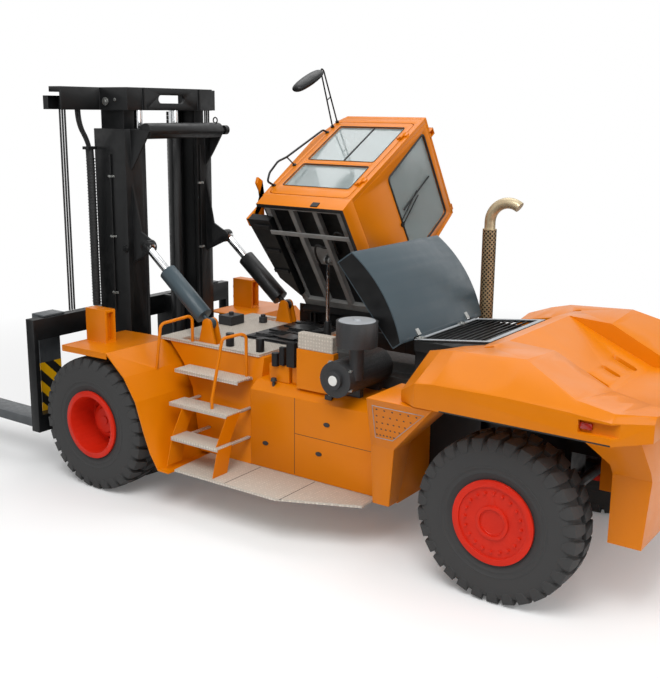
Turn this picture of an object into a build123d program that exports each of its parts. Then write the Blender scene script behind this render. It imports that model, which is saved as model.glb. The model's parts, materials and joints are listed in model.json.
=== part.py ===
from build123d import *
import os
from math import atan2, cos, hypot, radians, sin

# Heavy diesel forklift, parked for service: the cab is tilted over its right side and the hood is open.
# Millimetres. X points forward to the forks, Y to the left, Z up.
# The origin is on the floor under the middle of the front axle.

os.makedirs("parts", exist_ok=True)

SIDES = {"left": 1, "right": -1}

# Running gear
wheelbase = 4730
tyre_radius = 747
tyre_width = 430
tread_half = 190
lug_count = 30
lug_root_radius = 705
bead_radius = 381
bead_sides = 24
full_turn = 360
rim_seat_radius = 330
rim_flange_radius = 377
rim_wall = 12
rim_flange = 32
front_outer_y = 1445
front_inner_y = 955
rear_tyre_y = 1225
seat_gap = 0.3
wheel_disc = 25
front_disc_y = 1295
hub_radius = 185
hub_length = 130
rear_disc_y = 1395
rear_hub_radius = 150
rear_hub_height = 22
nut_circle = 262
nut_radius = 15
nut_height = 20
nut_count = 20
axle_z = tyre_radius
rear_x = -wheelbase

# Front axle
axle_tube_radius = 150
drum_radius = 262
drum_start_y = 735
differential_radius = 290
differential_half = 260

# Rear axle
kingpin_y = 960
kingpin_radius = 42
kingpin_half = 178
axle_beam_half = 110
ear_top = 168
ear_inside = 120
ear_end_y = 1045
knuckle_start_y = 872
knuckle_end_y = 1040
spindle_radius = 95
trunnion_radius = 70
trunnion_half = 210
steer_cylinder_radius = 50
steer_cylinder_half = 480
steer_rod_radius = 24
steer_rod_half = 590
steer_cylinder_back = 250

# Main frame
frame_plate_inner = 400
frame_plate_outer = 440
frame_bottom = 480
frame_top = 1300
frame_front = 130
frame_rear = -4100
nose_reach = 80
rear_beam_inner = 250
rear_beam_outer = 330
rear_beam_bottom = 1120
rear_beam_top = 1560
rear_beam_front = -3650
rear_beam_rear = -5250
cross_plate = 60
hanger_half = 190
hanger_gap = 128
hanger_plate = 60
belly_plate = 16

# Mast
mast_pivot_x = 230
mast_pivot_z = 480
mast_pin_radius = 45
mast_rear_x = 300
mast_front_x = 800
mast_inside_y = 460
mast_outside_y = 715
mast_web = 42
mast_flange = 50
mast_flange_inside_y = 560
mast_bottom = 350
mast_top = 3900
mast_gusset = 25
gusset_y = 605
tie_tube_radius = 88
tie_tube_x = 85
tie_tube_z = 3880
mast_beam_bottom = 1150
mast_beam_top = 1330

# Inner mast
inner_clearance = 15
inner_web = 45
inner_flange = 42
inner_inside_y = 500
inner_bottom = 640
head_bottom = 4105
head_top = 4355
head_rear_x = 255
head_half = 700
head_front_x = 800
head_plate = 30
head_arm_rear_x = 700
head_arm_front_x = 900
head_arm_half = 1250
head_slot_length = 420
head_slot_height = 90
head_rib_y = 440
head_rib = 30

# Lift cylinders
lift_cylinder_y = 300
lift_cylinder_x = 520
lift_barrel_radius = 82
lift_rod_radius = 60
lift_rod_bottom = 720
lift_barrel_bottom = 420
lift_barrel_top = 3850
chain_x = 650
chain_y = 345
chain_width = 52
chain_thick = 26
chain_bottom = 1500

# Carriage and forks
carriage_half = 1660
carriage_rear_x = 870
carriage_front_x = 1000
upper_bar_bottom = 1560
upper_bar_top = 1800
lower_bar_bottom = 480
lower_bar_top = 680
carriage_end = 60
roller_plate_inner = 400
roller_plate_outer = 450
roller_plate_rear = 420
roller_width = 60
fork_y = 1335
fork_width = 300
fork_back_x = 1005
fork_thickness = 110
fork_length = 2440
fork_taper_start = 1300
fork_tip = 22
fork_bottom = 440
hook_drop = 25
hook_lip = 30
fork_clearance = 6

# Tilt cylinders
tilt_y = 680
tilt_eye_x = 30
tilt_eye_z = 2600
tilt_base_x = -900
tilt_base_z = 1835
tilt_barrel_radius = 100
tilt_rod_radius = 45
tilt_pin_radius = 35
tilt_barrel_start = 115
tilt_barrel_length = 805
tilt_rod_start = 500
tilt_bore_start = 180
tilt_eye_radius = 75
tilt_base_radius = 62
tilt_neck_radius = 26
tilt_eye_half = 32
tilt_pin_head = 14
bracket_half = 130
bracket_inner_y = 618
bracket_outer_y = 742

# Body
board_z = 500
board_plate = 25
board_outer_y = 1630
side_wall_y = 1030
tank_top = 1410
tank_front = -1755.3
tank_rear = -3560
tank_bottom = 500.3
tank_inner_y = 440.3
tank_slope = (120, 85)
fender_outer_y = 1660
fender_inner_y = 722
fender_plate = 14
fender_lip = 60
fender_top = 1590
# Outline of the fender's skin: x, z
fender_line = ((400, 1584), (-300, 1592.7), (-560, 1370), (-720, 1130), (-820, 840), (-910, 620),
               (-1020, 450),
               (-1170, 450))
fender_wall_front = 80
fender_wall_z = 1300
lamp_box_x = (60, 370)
lamp_box_y = (1180, 1330)
lamp_box_top = 1960
lamp_recess = 60
lamp_radius = 50
lamp_depth = 28
# Cab base beside the frame: x, z of its side, from the rear foot round to the front
base_outline = ((-1755, 500.3), (-1040, 500.3), (-920, 860), (-820, 1140), (-640, 1390), (-400, 1600),
                (-1755, 1600))
base_wall_top_y = 800
deck_plate = 30
deck_front = -260
deck_rear = -1700
deck_half = 815
# Running board: x, y of its outline
board_outline = ((-1180, 980), (-1230, 1630), (-2540, 1630), (-3320, 1280), (-3320, 980))
# Steps: height of the tread, its outer edge, its inner edge, its front end, its rear end
step_table = (
    (800, 1530, 1290, -1090, -1730),
    (1100, 1350, 1110, -900, -1700),
    (1400, 1130, 890, -780, -1660),
)
step_plate = 20
step_hanger = 40

# Rear body: x, half width at the foot, half width and height of the crease and of the ridge
tail_bottom = 1700
tail_sections = (
    (-3870, 1540, 1540, 1790, 1060, 2050),
    (-4060, 1650, 1650, 1905, 1200, 2110),
    (-4240, 1650, 1650, 1925, 1290, 2145),
    (-4900, 1650, 1650, 1930, 1300, 2175),
    (-5430, 1650, 1650, 1910, 1540, 1985),
    (-5760, 1650, 1650, 1885, 1590, 1945),
    (-6000, 1380, 1380, 1850, 1340, 1910),
)
bay_half = 760
bay_rear = -4255
# Sloping channel between the two humps: x, z of its floor
channel_floor = ((-4440, 2165), (-5330, 1765), (-6100, 1745))
channel_half = 690
slot_x = -5160
# Lifting slots across the channel: place from the middle, length along the truck, width
slot_table = ((370, 240, 100), (0, 180, 75), (-370, 240, 100))
slot_depth = 70
eye_slot_radius = 45
eye_slot_x = -4420
eye_slot_y = 1000
lamp_pocket_x = (-5880, -5500)
lamp_pocket_z = (1765, 1870)
lamp_pocket_depth = 55
# Counterweight: x, z of its side
weight_outline = ((-5620, 700), (-5620, 1400), (-5380, 1699), (-5930, 1699), (-5950, 1400), (-5900, 700))
weight_half = 1120
weight_flare_z = 1300
weight_flare_half = 1440
weight_corner = 110
tongue_half = 330
tongue_bottom = 820
tow_slot_z = (960, 1060)
tow_slot_half = 160
tow_slot_depth = 190
tow_bore_radius = 32
tow_bore_back = 95
tow_bore_length = 460
# Rear arch: height, front x, rear x, outer y of each section
arch_sections = ((520, -3565, -3380, 1200), (1150, -3690, -3440, 1340), (1690, -4230, -3565, 1630))
arch_inner_y = side_wall_y + seat_gap
# Radiator box and grille
radiator_front = -3450
radiator_half = 600
radiator_bottom = 1570
radiator_top = 1965
grille_front = -3450
grille_rear = -4245
grille_half = 620
grille_z = (2005, 2095)
grille_plate = 22
grille_bar = 60
grille_slats = 9
grille_slat = 14
# Engine block: its three sides
engine_x = (-3380, -1980)
engine_y = 360
engine_z = (640, 1520)
engine_cover_inset = 90
engine_cover = 110
# Air cleaner and its pre-cleaner
cleaner_x = -2930
cleaner_z = 1645
cleaner_y = (430, 1190)
cleaner_radius = 175
cleaner_cap = 40
cleaner_foot = 60
drum_x = -3075
drum_y = 1045
drum_z = (1976, 2215)
drum_body_radius = 198
drum_neck = 70
# Exhaust
exhaust_x = -3420
exhaust_y = -950
exhaust_radius = 74
exhaust_top = 2920
exhaust_tip = (-3750, 3165)
exhaust_pipe = 58
# Things on the deck behind the cab: x range, y range, top
deck_box_table = (
    ((-2160, -1900), (600, 900), 1590),
    ((-2400, -2180), (460, 880), 1672),
)
rail_radius = 17
# Handrails: points x, y, z
rail_front = ((-560, 1180, 1365), (-640, 1180, 1880), (-735, 790, 1925), (-735, 790, 1630.3))
rail_rear = (
    (-1430, 1260, 1100.3),
    (-1430, 1260, 1200),
    (-1470, 1130, 1830),
    (-1600, 905, 1865),
    (-1600, 905, 1400.3),
)
rail_bend = 60

# Cab
cab_hinge_y = -830
cab_hinge_z = 1840
cab_tilt = 57
cab_rear_x = -2300
cab_front_x = -1150
cab_nose_x = -860
cab_half = 800
cab_roof_half = 680
cab_floor_z = 1840
cab_roof_z = 3590
cab_wall = 45
# Side outline of the cab as it rides closed: x, z
cab_outline = (
    (-2300, 1840),
    (-1080, 1840),
    (-900, 2020),
    (-860, 2250),
    (-930, 2520),
    (-1150, 3470),
    (-1220, 3590),
    (-2300, 3590),
)
cab_nose_corner = 280
hinge_pin_radius = 18
hinge_x = (-1620, -1200)
hinge_lug = 40
hinge_lug_radius = 42
hinge_post_radius = 25
hinge_post = 24
rest_y = 700
rest_radius = 45
door_x = (-2230, -1190)
door_z = (1900, 3440)
door_gap = 8
door_window_low = (2060, 2520)
door_window_high = (2600, 3350)
door_frame = 75
door_hinge_radius = 16
door_hinge_length = 120
door_hinge_out = 19
door_hinge_low = 300
door_hinge_high = 1250
grab_x = -1165
grab_z = (150, 1250)
grab_reach = 70
grab_radius = 15
grab_bend = 30
# Mirror: place along the cab, heights of its arm's feet up the wall, reach, tube, and depth, width, height
mirror_x = -1165
mirror_feet = (1490, 1590)
mirror_reach = 660
mirror_tube = 11
mirror_size = (60, 200, 420)
rear_window_half = 560
rear_window_z = (2570, 3440)
front_window_half = 560
front_window_z = (2560, 3380)
side_window_x = (-2200, -1280)
side_window_z = (2560, 3400)
window_corner = 60
glass_plate = 8
roof_window_x = (-2120, -1420)
roof_window_half = 420
skirt_bottom = 1690
skirt_plate = 60
floor_top = 1885
floor_seam_z = 1893
roof_seam_z = 3545
wall_seam = 5
# Underframe crossbars: x of each
underframe_bars = (-2180, -1860, -1540, -1220)
# Cab lift cylinder, standing when the cab is tilted: its foot, its barrel and its rod
lift_x = -1760
lift_foot = (-340, 1000)
lift_head = (-330, 2500)
lift_body_radius = 42
lift_body_start = 55
lift_body_end = 800
lift_bore_start = 70
lift_stem_start = 735
lift_stem_radius = 19
lift_eye_radius = 36
lift_eye_half = 20
lift_pin_radius = 14
lift_neck_radius = 16
lift_ear = 18
# Seat and console inside the cab, as it rides closed
seat_x = (-1960, -1480)
seat_half = 250
seat_z = (2130, 2290)
seat_post = 120
seat_back_top = 2950
seat_back_thick = 130
console_x = (-1320, -1200)
console_half = 140
console_top = 2420
wheel_ring_radius = 190
wheel_tube_radius = 16

# Hood
hood_hinge_x = -3430
hood_hinge_z = 2000
hood_open = 55
hood_length = 1000
hood_bulge = 92
hood_half = 830
hood_wall = 20
hood_lip = 200
hood_skirt = 110
hood_knuckle_y = 420
hood_knuckle = 80
hood_knuckle_radius = 16


def across(x, z, y=0):
    """Plane whose sketch lies in Y and Z, standing across the truck at x."""
    return Plane(origin=(x, y, z), x_dir=(0, 1, 0), z_dir=(1, 0, 0))


def along(y):
    """Plane whose sketch lies in X and Z, standing along the truck at y and facing right."""
    return Plane(origin=(0, y, 0), x_dir=(1, 0, 0), z_dir=(0, -1, 0))


def slab(x, y, z, mode=Mode.ADD):
    """Solid block between two values in each direction, added to the open part or cut from it."""
    middle = ((x[0] + x[1]) / 2, (y[0] + y[1]) / 2, (z[0] + z[1]) / 2)
    with Locations(middle):
        Box(abs(x[1] - x[0]), abs(y[1] - y[0]), abs(z[1] - z[0]), mode=mode)


def rod_between(start, end, radius):
    """Round bar from one point to another, added to the open part."""
    run = Vector(*end) - Vector(*start)
    with BuildSketch(Plane(origin=start, z_dir=run)) as end_face:
        Circle(radius)
    extrude(end_face.sketch, amount=run.length)


def bent_tube(points, radius, bend):
    """Tube along a path of straight runs with rounded corners, added to the open part."""
    with BuildLine() as path:
        FilletPolyline(*points, radius=bend)
    start = Plane(origin=points[0], z_dir=Vector(*points[1]) - Vector(*points[0]))
    with BuildSketch(start) as ring:
        Circle(radius)
    sweep(ring.sketch, path=path.line)


# Tyres: a many-sided ring with two rows of lugs, staggered by half a pitch
def tyre(wheel_x, centre_y):
    """One tyre about its axle, with a lug flat on the floor."""
    facets = 2 * lug_count
    pitch = full_turn / facets
    reach = lug_root_radius * cos(radians(pitch / 2))
    half = tyre_width / 2
    with BuildPart(mode=Mode.PRIVATE) as lug:
        with BuildSketch(Plane.XZ):
            with BuildLine():
                Polyline((reach, 0), (tyre_radius, 0), (tyre_radius, tread_half), (reach, half), close=True)
            make_face()
        extrude(amount=lug_root_radius * sin(radians(pitch / 2)), both=True)
    with BuildPart(mode=Mode.PRIVATE) as ring:
        with BuildSketch():
            RegularPolygon(lug_root_radius, facets, rotation=pitch / 2)
            RegularPolygon(bead_radius, bead_sides, mode=Mode.SUBTRACT)
        extrude(amount=half, both=True)
        with PolarLocations(0, lug_count):
            add(lug.part)
        with PolarLocations(0, lug_count, start_angle=pitch):
            add(lug.part, rotation=(full_turn / 2, 0, 0))
    hub = Plane(origin=(wheel_x, centre_y, axle_z), x_dir=(1, 0, 0), z_dir=(0, 1, 0))
    return ring.part.moved(hub.location)


for side_name, side in SIDES.items():
    with BuildPart() as front_tyres:
        for centre in (front_outer_y, front_inner_y):
            add(tyre(0, side * centre))
    front_tyres.part.label = f"tyres_front_{side_name}"
    export_step(front_tyres.part, f"parts/tyres_front_{side_name}.step")

    with BuildPart() as rear_tyre:
        add(tyre(rear_x, side * rear_tyre_y))
    rear_tyre.part.label = f"tyre_rear_{side_name}"
    export_step(rear_tyre.part, f"parts/tyre_rear_{side_name}.step")


# Rims: a barrel with two flanges, and the disc that bolts to the hub
def band(low_y, high_y, low_r, high_r):
    """Rectangle of a turned section, from one width to another and one radius to another."""
    with Locations(((low_y + high_y) / 2, (low_r + high_r) / 2)):
        Rectangle(abs(high_y - low_y), high_r - low_r)


def barrel(centre):
    """Barrel of one rim with its two flanges."""
    half = tyre_width / 2
    inner = rim_seat_radius - rim_wall
    band(centre - half, centre + half, inner, rim_seat_radius)
    for end in (-1, 1):
        band(centre + end * half, centre + end * (half - rim_flange), inner, rim_flange_radius)


for side_name, side in SIDES.items():
    with BuildPart() as front_rim:
        with BuildSketch(across(0, axle_z)):
            barrel(side * front_outer_y)
            barrel(side * front_inner_y)
            band(side * front_inner_y, side * front_outer_y, rim_seat_radius - rim_wall, rim_seat_radius)
            band(side * front_disc_y, side * (front_disc_y + wheel_disc), 0, rim_seat_radius)
            band(side * front_disc_y, side * (front_disc_y + hub_length), 0, hub_radius)
        revolve(axis=Axis((0, 0, axle_z), (0, 1, 0)))
    front_rim.part.label = f"rims_front_{side_name}"
    export_step(front_rim.part, f"parts/rims_front_{side_name}.step")

    with BuildPart() as rear_rim:
        with BuildSketch(across(rear_x, axle_z)):
            barrel(side * rear_tyre_y)
            band(side * rear_disc_y, side * (rear_disc_y + wheel_disc), 0, rim_seat_radius)
            band(
                side * rear_disc_y,
                side * (rear_disc_y + wheel_disc + rear_hub_height),
                rear_hub_radius - rim_flange,
                rear_hub_radius,
            )
        revolve(axis=Axis((rear_x, 0, axle_z), (0, 1, 0)))
        nut_face = Plane(
            origin=(rear_x, side * (rear_disc_y + wheel_disc), axle_z), x_dir=(1, 0, 0), z_dir=(0, side, 0)
        )
        with BuildSketch(nut_face):
            with PolarLocations(nut_circle, nut_count):
                RegularPolygon(nut_radius, 6)
        extrude(amount=nut_height)
    rear_rim.part.label = f"rim_rear_{side_name}"
    export_step(rear_rim.part, f"parts/rim_rear_{side_name}.step")

# Front drive axle: tube, differential housing and the drums inside the inner rims
with BuildPart() as front_axle:
    with BuildSketch(across(0, axle_z)):
        with BuildLine():
            Polyline(
                (-front_disc_y + seat_gap, 0),
                (-front_disc_y + seat_gap, drum_radius),
                (-drum_start_y, drum_radius),
                (-drum_start_y, axle_tube_radius),
                (-differential_half, axle_tube_radius),
            )
            ThreePointArc(
                (-differential_half, axle_tube_radius),
                (0, differential_radius),
                (differential_half, axle_tube_radius),
            )
            Polyline(
                (differential_half, axle_tube_radius),
                (drum_start_y, axle_tube_radius),
                (drum_start_y, drum_radius),
                (front_disc_y - seat_gap, drum_radius),
                (front_disc_y - seat_gap, 0),
                (-front_disc_y + seat_gap, 0),
            )
        make_face()
    revolve(axis=Axis((0, 0, axle_z), (0, 1, 0)))
front_axle.part.label = "front_axle"
export_step(front_axle.part, "parts/front_axle.step")

# Rear steering axle: a beam with forked ends, its trunnion and the steering cylinder behind it
with BuildPart() as steer_axle:
    with BuildSketch(across(rear_x - axle_beam_half, axle_z)):
        with BuildLine():
            Polyline(
                (-ear_end_y, ear_top),
                (ear_end_y, ear_top),
                (ear_end_y, ear_inside),
                (knuckle_start_y, ear_inside),
                (knuckle_start_y, -ear_inside),
                (ear_end_y, -ear_inside),
                (ear_end_y, -ear_top),
                (-ear_end_y, -ear_top),
                (-ear_end_y, -ear_inside),
                (-knuckle_start_y, -ear_inside),
                (-knuckle_start_y, ear_inside),
                (-ear_end_y, ear_inside),
                close=True,
            )
        make_face()
    extrude(amount=2 * axle_beam_half)
    with BuildSketch(Plane.XY.offset(axle_z)):
        with Locations((rear_x, kingpin_y), (rear_x, -kingpin_y)):
            Circle(kingpin_radius + seat_gap)
    extrude(amount=2 * ear_top, both=True, mode=Mode.SUBTRACT)
    with BuildSketch(across(rear_x, axle_z)):
        Circle(trunnion_radius)
    extrude(amount=trunnion_half, both=True)
    cylinder_x = rear_x - steer_cylinder_back
    rod_between((cylinder_x, -steer_cylinder_half, axle_z), (cylinder_x, steer_cylinder_half, axle_z),
                steer_cylinder_radius)
    rod_between((cylinder_x, -steer_rod_half, axle_z), (cylinder_x, steer_rod_half, axle_z),
                steer_rod_radius)
    for side in SIDES.values():
        slab(
            (cylinder_x, rear_x),
            (side * (steer_cylinder_half - 2 * steer_cylinder_radius), side * steer_cylinder_half),
            (axle_z - steer_cylinder_radius, axle_z + steer_cylinder_radius),
        )
steer_axle.part.label = "steer_axle"
export_step(steer_axle.part, "parts/steer_axle.step")

# Knuckles: a barrel on the kingpin and the spindle that carries the wheel
for side_name, side in SIDES.items():
    with BuildPart() as knuckle:
        slab(
            (rear_x - spindle_radius, rear_x + spindle_radius),
            (side * kingpin_y, side * knuckle_end_y),
            (axle_z - ear_inside + seat_gap, axle_z + ear_inside - seat_gap),
        )
        with BuildSketch(Plane.XY.offset(axle_z)):
            with Locations((rear_x, side * kingpin_y)):
                Circle(kingpin_y - knuckle_start_y - fork_clearance)
        extrude(amount=ear_inside - seat_gap, both=True)
        with BuildSketch(Plane.XY.offset(axle_z)):
            with Locations((rear_x, side * kingpin_y)):
                Circle(kingpin_radius)
        extrude(amount=kingpin_half, both=True)
        rod_between(
            (rear_x, side * kingpin_y, axle_z),
            (rear_x, side * (rear_disc_y - seat_gap), axle_z),
            spindle_radius,
        )
    knuckle.part.label = f"knuckle_{side_name}"
    export_step(knuckle.part, f"parts/knuckle_{side_name}.step")

# Main frame: two deep plates with cross plates, a pair of narrow beams over the rear axle,
# and the hangers that hold the axle's trunnion
with BuildPart() as chassis:
    for side in SIDES.values():
        with BuildSketch(along(side * frame_plate_inner)):
            with BuildLine():
                Polyline(
                    (mast_pivot_x + nose_reach, mast_pivot_z - nose_reach),
                    (mast_pivot_x + nose_reach, mast_pivot_z + nose_reach),
                    (frame_front, axle_z),
                    (frame_front, frame_top),
                    (frame_rear, frame_top),
                    (frame_rear, rear_beam_bottom),
                    (rear_beam_front, frame_bottom),
                    (frame_front, frame_bottom),
                    (frame_front, mast_pivot_z - nose_reach),
                    close=True,
                )
            make_face()
        extrude(amount=-side * (frame_plate_outer - frame_plate_inner))
        slab(
            (rear_beam_front, rear_beam_rear),
            (side * rear_beam_inner, side * rear_beam_outer),
            (rear_beam_bottom, rear_beam_top),
        )
    for cross_x in (frame_front - cross_plate, deck_rear + 4 * cross_plate, rear_beam_front,
                    frame_rear + cross_plate):
        slab(
            (cross_x - cross_plate, cross_x),
            (-frame_plate_outer, frame_plate_outer),
            (rear_beam_bottom, frame_top),
        )
    slab((tank_front, rear_beam_front), (-frame_plate_outer, frame_plate_outer),
         (frame_bottom, frame_bottom + belly_plate))
    for end in (-1, 1):
        hanger_x = rear_x + end * hanger_gap
        slab((hanger_x, hanger_x + end * hanger_plate), (-hanger_half, hanger_half),
             (axle_z - 2 * trunnion_radius, rear_beam_top))
        slab((hanger_x, hanger_x + end * hanger_plate), (-rear_beam_outer, rear_beam_outer),
             (rear_beam_bottom, rear_beam_top))
    with BuildSketch(across(rear_x, axle_z)):
        Circle(trunnion_radius + seat_gap)
    extrude(amount=2 * trunnion_half, both=True, mode=Mode.SUBTRACT)
    with BuildSketch(Plane.XZ):
        with Locations((0, axle_z)):
            Circle(axle_tube_radius + seat_gap)
    extrude(amount=mast_outside_y, both=True, mode=Mode.SUBTRACT)
    for side in SIDES.values():
        rod_between(
            (mast_pivot_x, side * frame_plate_inner, mast_pivot_z),
            (mast_pivot_x, side * (mast_inside_y + mast_flange), mast_pivot_z),
            mast_pin_radius,
        )
    for end in (-1, 1):
        ear_x = lift_x + end * (lift_eye_half + seat_gap)
        slab((ear_x, ear_x + end * lift_ear), (-frame_plate_inner, lift_foot[0] + lift_eye_radius),
             (lift_foot[1] - lift_eye_radius, lift_foot[1] + lift_eye_radius))
    rod_between((lift_x - lift_eye_half - lift_ear, *lift_foot),
                (lift_x + lift_eye_half + lift_ear, *lift_foot),
                lift_pin_radius)
chassis.part.label = "chassis"
export_step(chassis.part, "parts/chassis.step")


# Outer mast: two channel columns joined by the tie tube, the cross beams and the rear gussets
def channel(side, rear, front, inside, outside, web, flange, front_inside):
    """Section of one mast column: a web at the outside and a flange at each end."""
    with BuildSketch(Plane.XY) as section:
        with BuildLine():
            Polyline(
                (rear, side * inside),
                (rear, side * outside),
                (front, side * outside),
                (front, side * front_inside),
                (front - flange, side * front_inside),
                (front - flange, side * (outside - web)),
                (rear + flange, side * (outside - web)),
                (rear + flange, side * inside),
                close=True,
            )
        make_face()
    return section.sketch


column_middle = (mast_rear_x + mast_front_x) / 2
foot_reach = mast_pin_radius + 35
gusset_low = tilt_eye_z - 200
gusset_waist = tilt_eye_z + 700
with BuildPart() as mast_outer:
    for side in SIDES.values():
        column = channel(side, mast_rear_x, mast_front_x, mast_inside_y, mast_outside_y, mast_web,
                         mast_flange,
                         mast_flange_inside_y)
        extrude(column.moved(Location((0, 0, mast_bottom))), amount=mast_top - mast_bottom)
        with BuildSketch(along(side * mast_inside_y)):
            with BuildLine():
                Polyline(
                    (mast_rear_x + mast_flange, mast_bottom),
                    (mast_rear_x + mast_flange, mast_pivot_z + 3 * foot_reach),
                    (mast_rear_x, mast_pivot_z + 3 * foot_reach),
                    (mast_pivot_x, mast_pivot_z + foot_reach),
                    (mast_pivot_x, mast_pivot_z - foot_reach),
                    (mast_rear_x, mast_bottom),
                    close=True,
                )
            make_face()
            with Locations((mast_pivot_x, mast_pivot_z)):
                Circle(foot_reach)
                Circle(mast_pin_radius + seat_gap, mode=Mode.SUBTRACT)
        extrude(amount=-side * (mast_flange - fork_clearance))
        with BuildSketch(along(side * gusset_y)):
            with BuildLine():
                Polyline(
                    (mast_rear_x, mast_top),
                    (tie_tube_x, mast_top),
                    (tie_tube_x - tie_tube_radius, tie_tube_z),
                    (tie_tube_x + tie_tube_radius, tie_tube_z - 3 * tie_tube_radius),
                    (mast_rear_x, tie_tube_z - 5 * tie_tube_radius),
                    close=True,
                )
            make_face()
            with BuildLine():
                Polyline(
                    (mast_rear_x, gusset_waist),
                    (tilt_eye_x + 2 * tilt_eye_radius, tilt_eye_z + 2 * tilt_eye_radius),
                    (tilt_eye_x, tilt_eye_z + tilt_eye_radius),
                    (tilt_eye_x, tilt_eye_z - tilt_eye_radius),
                    (mast_rear_x, gusset_low),
                    close=True,
                )
            make_face()
            with Locations((tilt_eye_x, tilt_eye_z)):
                Circle(tilt_eye_radius)
        extrude(amount=-side * mast_gusset)
    rod_between((tie_tube_x, -gusset_y, tie_tube_z), (tie_tube_x, gusset_y, tie_tube_z), tie_tube_radius)
    slab((mast_rear_x, mast_rear_x + mast_flange), (-mast_inside_y, mast_inside_y),
         (mast_beam_bottom, mast_beam_top))
mast_outer.part.label = "mast_outer"
export_step(mast_outer.part, "parts/mast_outer.step")

# Lift cylinders: long barrels that stand between the columns, carried by the foot beam
with BuildPart() as lift_barrels:
    for side in SIDES.values():
        with BuildSketch(Plane.XY.offset(lift_barrel_bottom)):
            with Locations((lift_cylinder_x, side * lift_cylinder_y)):
                Circle(lift_barrel_radius)
        extrude(amount=lift_barrel_top - lift_barrel_bottom)
        with BuildSketch(Plane.XY.offset(lift_barrel_bottom + cross_plate)):
            with Locations((lift_cylinder_x, side * lift_cylinder_y)):
                Circle(lift_rod_radius + seat_gap)
        extrude(amount=lift_barrel_top, mode=Mode.SUBTRACT)
    slab((mast_rear_x + mast_flange + seat_gap, roller_plate_rear - fork_clearance),
         (-mast_outside_y + mast_web + seat_gap, mast_outside_y - mast_web - seat_gap),
         (mast_bottom, lift_barrel_bottom))
    slab((mast_rear_x + mast_flange + seat_gap, lift_cylinder_x + lift_barrel_radius),
         (-roller_plate_inner + fork_clearance, roller_plate_inner - fork_clearance),
         (mast_bottom, lift_barrel_bottom))
lift_barrels.part.label = "lift_barrels"
export_step(lift_barrels.part, "parts/lift_barrels.step")

# Inner mast: two channels that slide inside the outer columns, and the head that carries the sheaves
inner_outside_y = mast_outside_y - mast_web - inner_clearance
inner_rear_x = mast_rear_x + mast_flange + inner_clearance
inner_front_x = mast_front_x - mast_flange - inner_clearance
with BuildPart() as mast_inner:
    for side in SIDES.values():
        column = channel(side, inner_rear_x, inner_front_x, inner_inside_y, inner_outside_y, inner_web,
                         inner_flange,
                         inner_inside_y)
        extrude(column.moved(Location((0, 0, inner_bottom))), amount=head_bottom - inner_bottom)
        slab((head_rear_x, head_front_x), (side * (head_half - head_plate), side * head_half),
             (head_bottom, head_top))
        slab((head_arm_rear_x, head_arm_front_x), (side * (head_half - head_plate), side * head_arm_half),
             (head_top - 2 * head_plate, head_top))
        slab((head_arm_rear_x, head_arm_rear_x + head_plate), (side * (head_half - head_plate),
                                                               side * head_arm_half),
             (head_bottom, head_top))
    slab((inner_rear_x - inner_clearance, inner_front_x), (-head_half, head_half),
         (head_bottom, head_bottom + head_plate))
    slab((head_rear_x, head_rear_x + head_plate), (-head_half, head_half), (head_bottom, head_top))
    slab((inner_rear_x, inner_rear_x + head_plate), (-inner_inside_y, inner_inside_y),
         (inner_bottom, inner_bottom + 6 * head_plate))
    with BuildSketch(across(head_rear_x, (head_bottom + head_top) / 2)):
        SlotOverall(head_slot_length, head_slot_height)
    extrude(amount=2 * head_plate, both=True, mode=Mode.SUBTRACT)
    for side in SIDES.values():
        slab((head_rear_x - head_rib, head_rear_x), (side * head_rib_y, side * (head_rib_y + head_rib)),
             (head_bottom, head_top))
mast_inner.part.label = "mast_inner"
export_step(mast_inner.part, "parts/mast_inner.step")

with BuildPart() as lift_rods:
    for side in SIDES.values():
        with BuildSketch(Plane.XY.offset(lift_rod_bottom)):
            with Locations((lift_cylinder_x, side * lift_cylinder_y)):
                Circle(lift_rod_radius)
        extrude(amount=head_bottom - lift_rod_bottom)
lift_rods.part.label = "lift_rods"
export_step(lift_rods.part, "parts/lift_rods.step")

# Leaf chains that hang from the head in front of the lift cylinders
with BuildPart() as leaf_chains:
    for side in SIDES.values():
        slab((chain_x - chain_thick / 2, chain_x + chain_thick / 2),
             (side * chain_y - chain_width / 2, side * chain_y + chain_width / 2),
             (chain_bottom, head_bottom - seat_gap))
leaf_chains.part.label = "leaf_chains"
export_step(leaf_chains.part, "parts/leaf_chains.step")

roller_radius = (inner_front_x - inner_rear_x) / 2 - inner_flange - seat_gap
# Carriage: two bars between end plates, and the roller plates that run inside the inner mast
with BuildPart() as carriage:
    for low, high in ((lower_bar_bottom, lower_bar_top), (upper_bar_bottom, upper_bar_top)):
        slab((carriage_rear_x, carriage_front_x), (-carriage_half, carriage_half), (low, high))
    for side in SIDES.values():
        slab((carriage_rear_x, carriage_front_x), (side * (carriage_half - carriage_end),
                                                   side * carriage_half),
             (lower_bar_bottom, upper_bar_top))
        slab((roller_plate_rear, carriage_front_x), (side * roller_plate_inner, side * roller_plate_outer),
             (lower_bar_bottom, upper_bar_top))
        for roller_z in (lower_bar_top, upper_bar_bottom):
            rod_between(
                (column_middle, side * roller_plate_outer, roller_z),
                (column_middle, side * (inner_inside_y + roller_width), roller_z),
                roller_radius,
            )
carriage.part.label = "carriage"
export_step(carriage.part, "parts/carriage.step")

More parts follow.
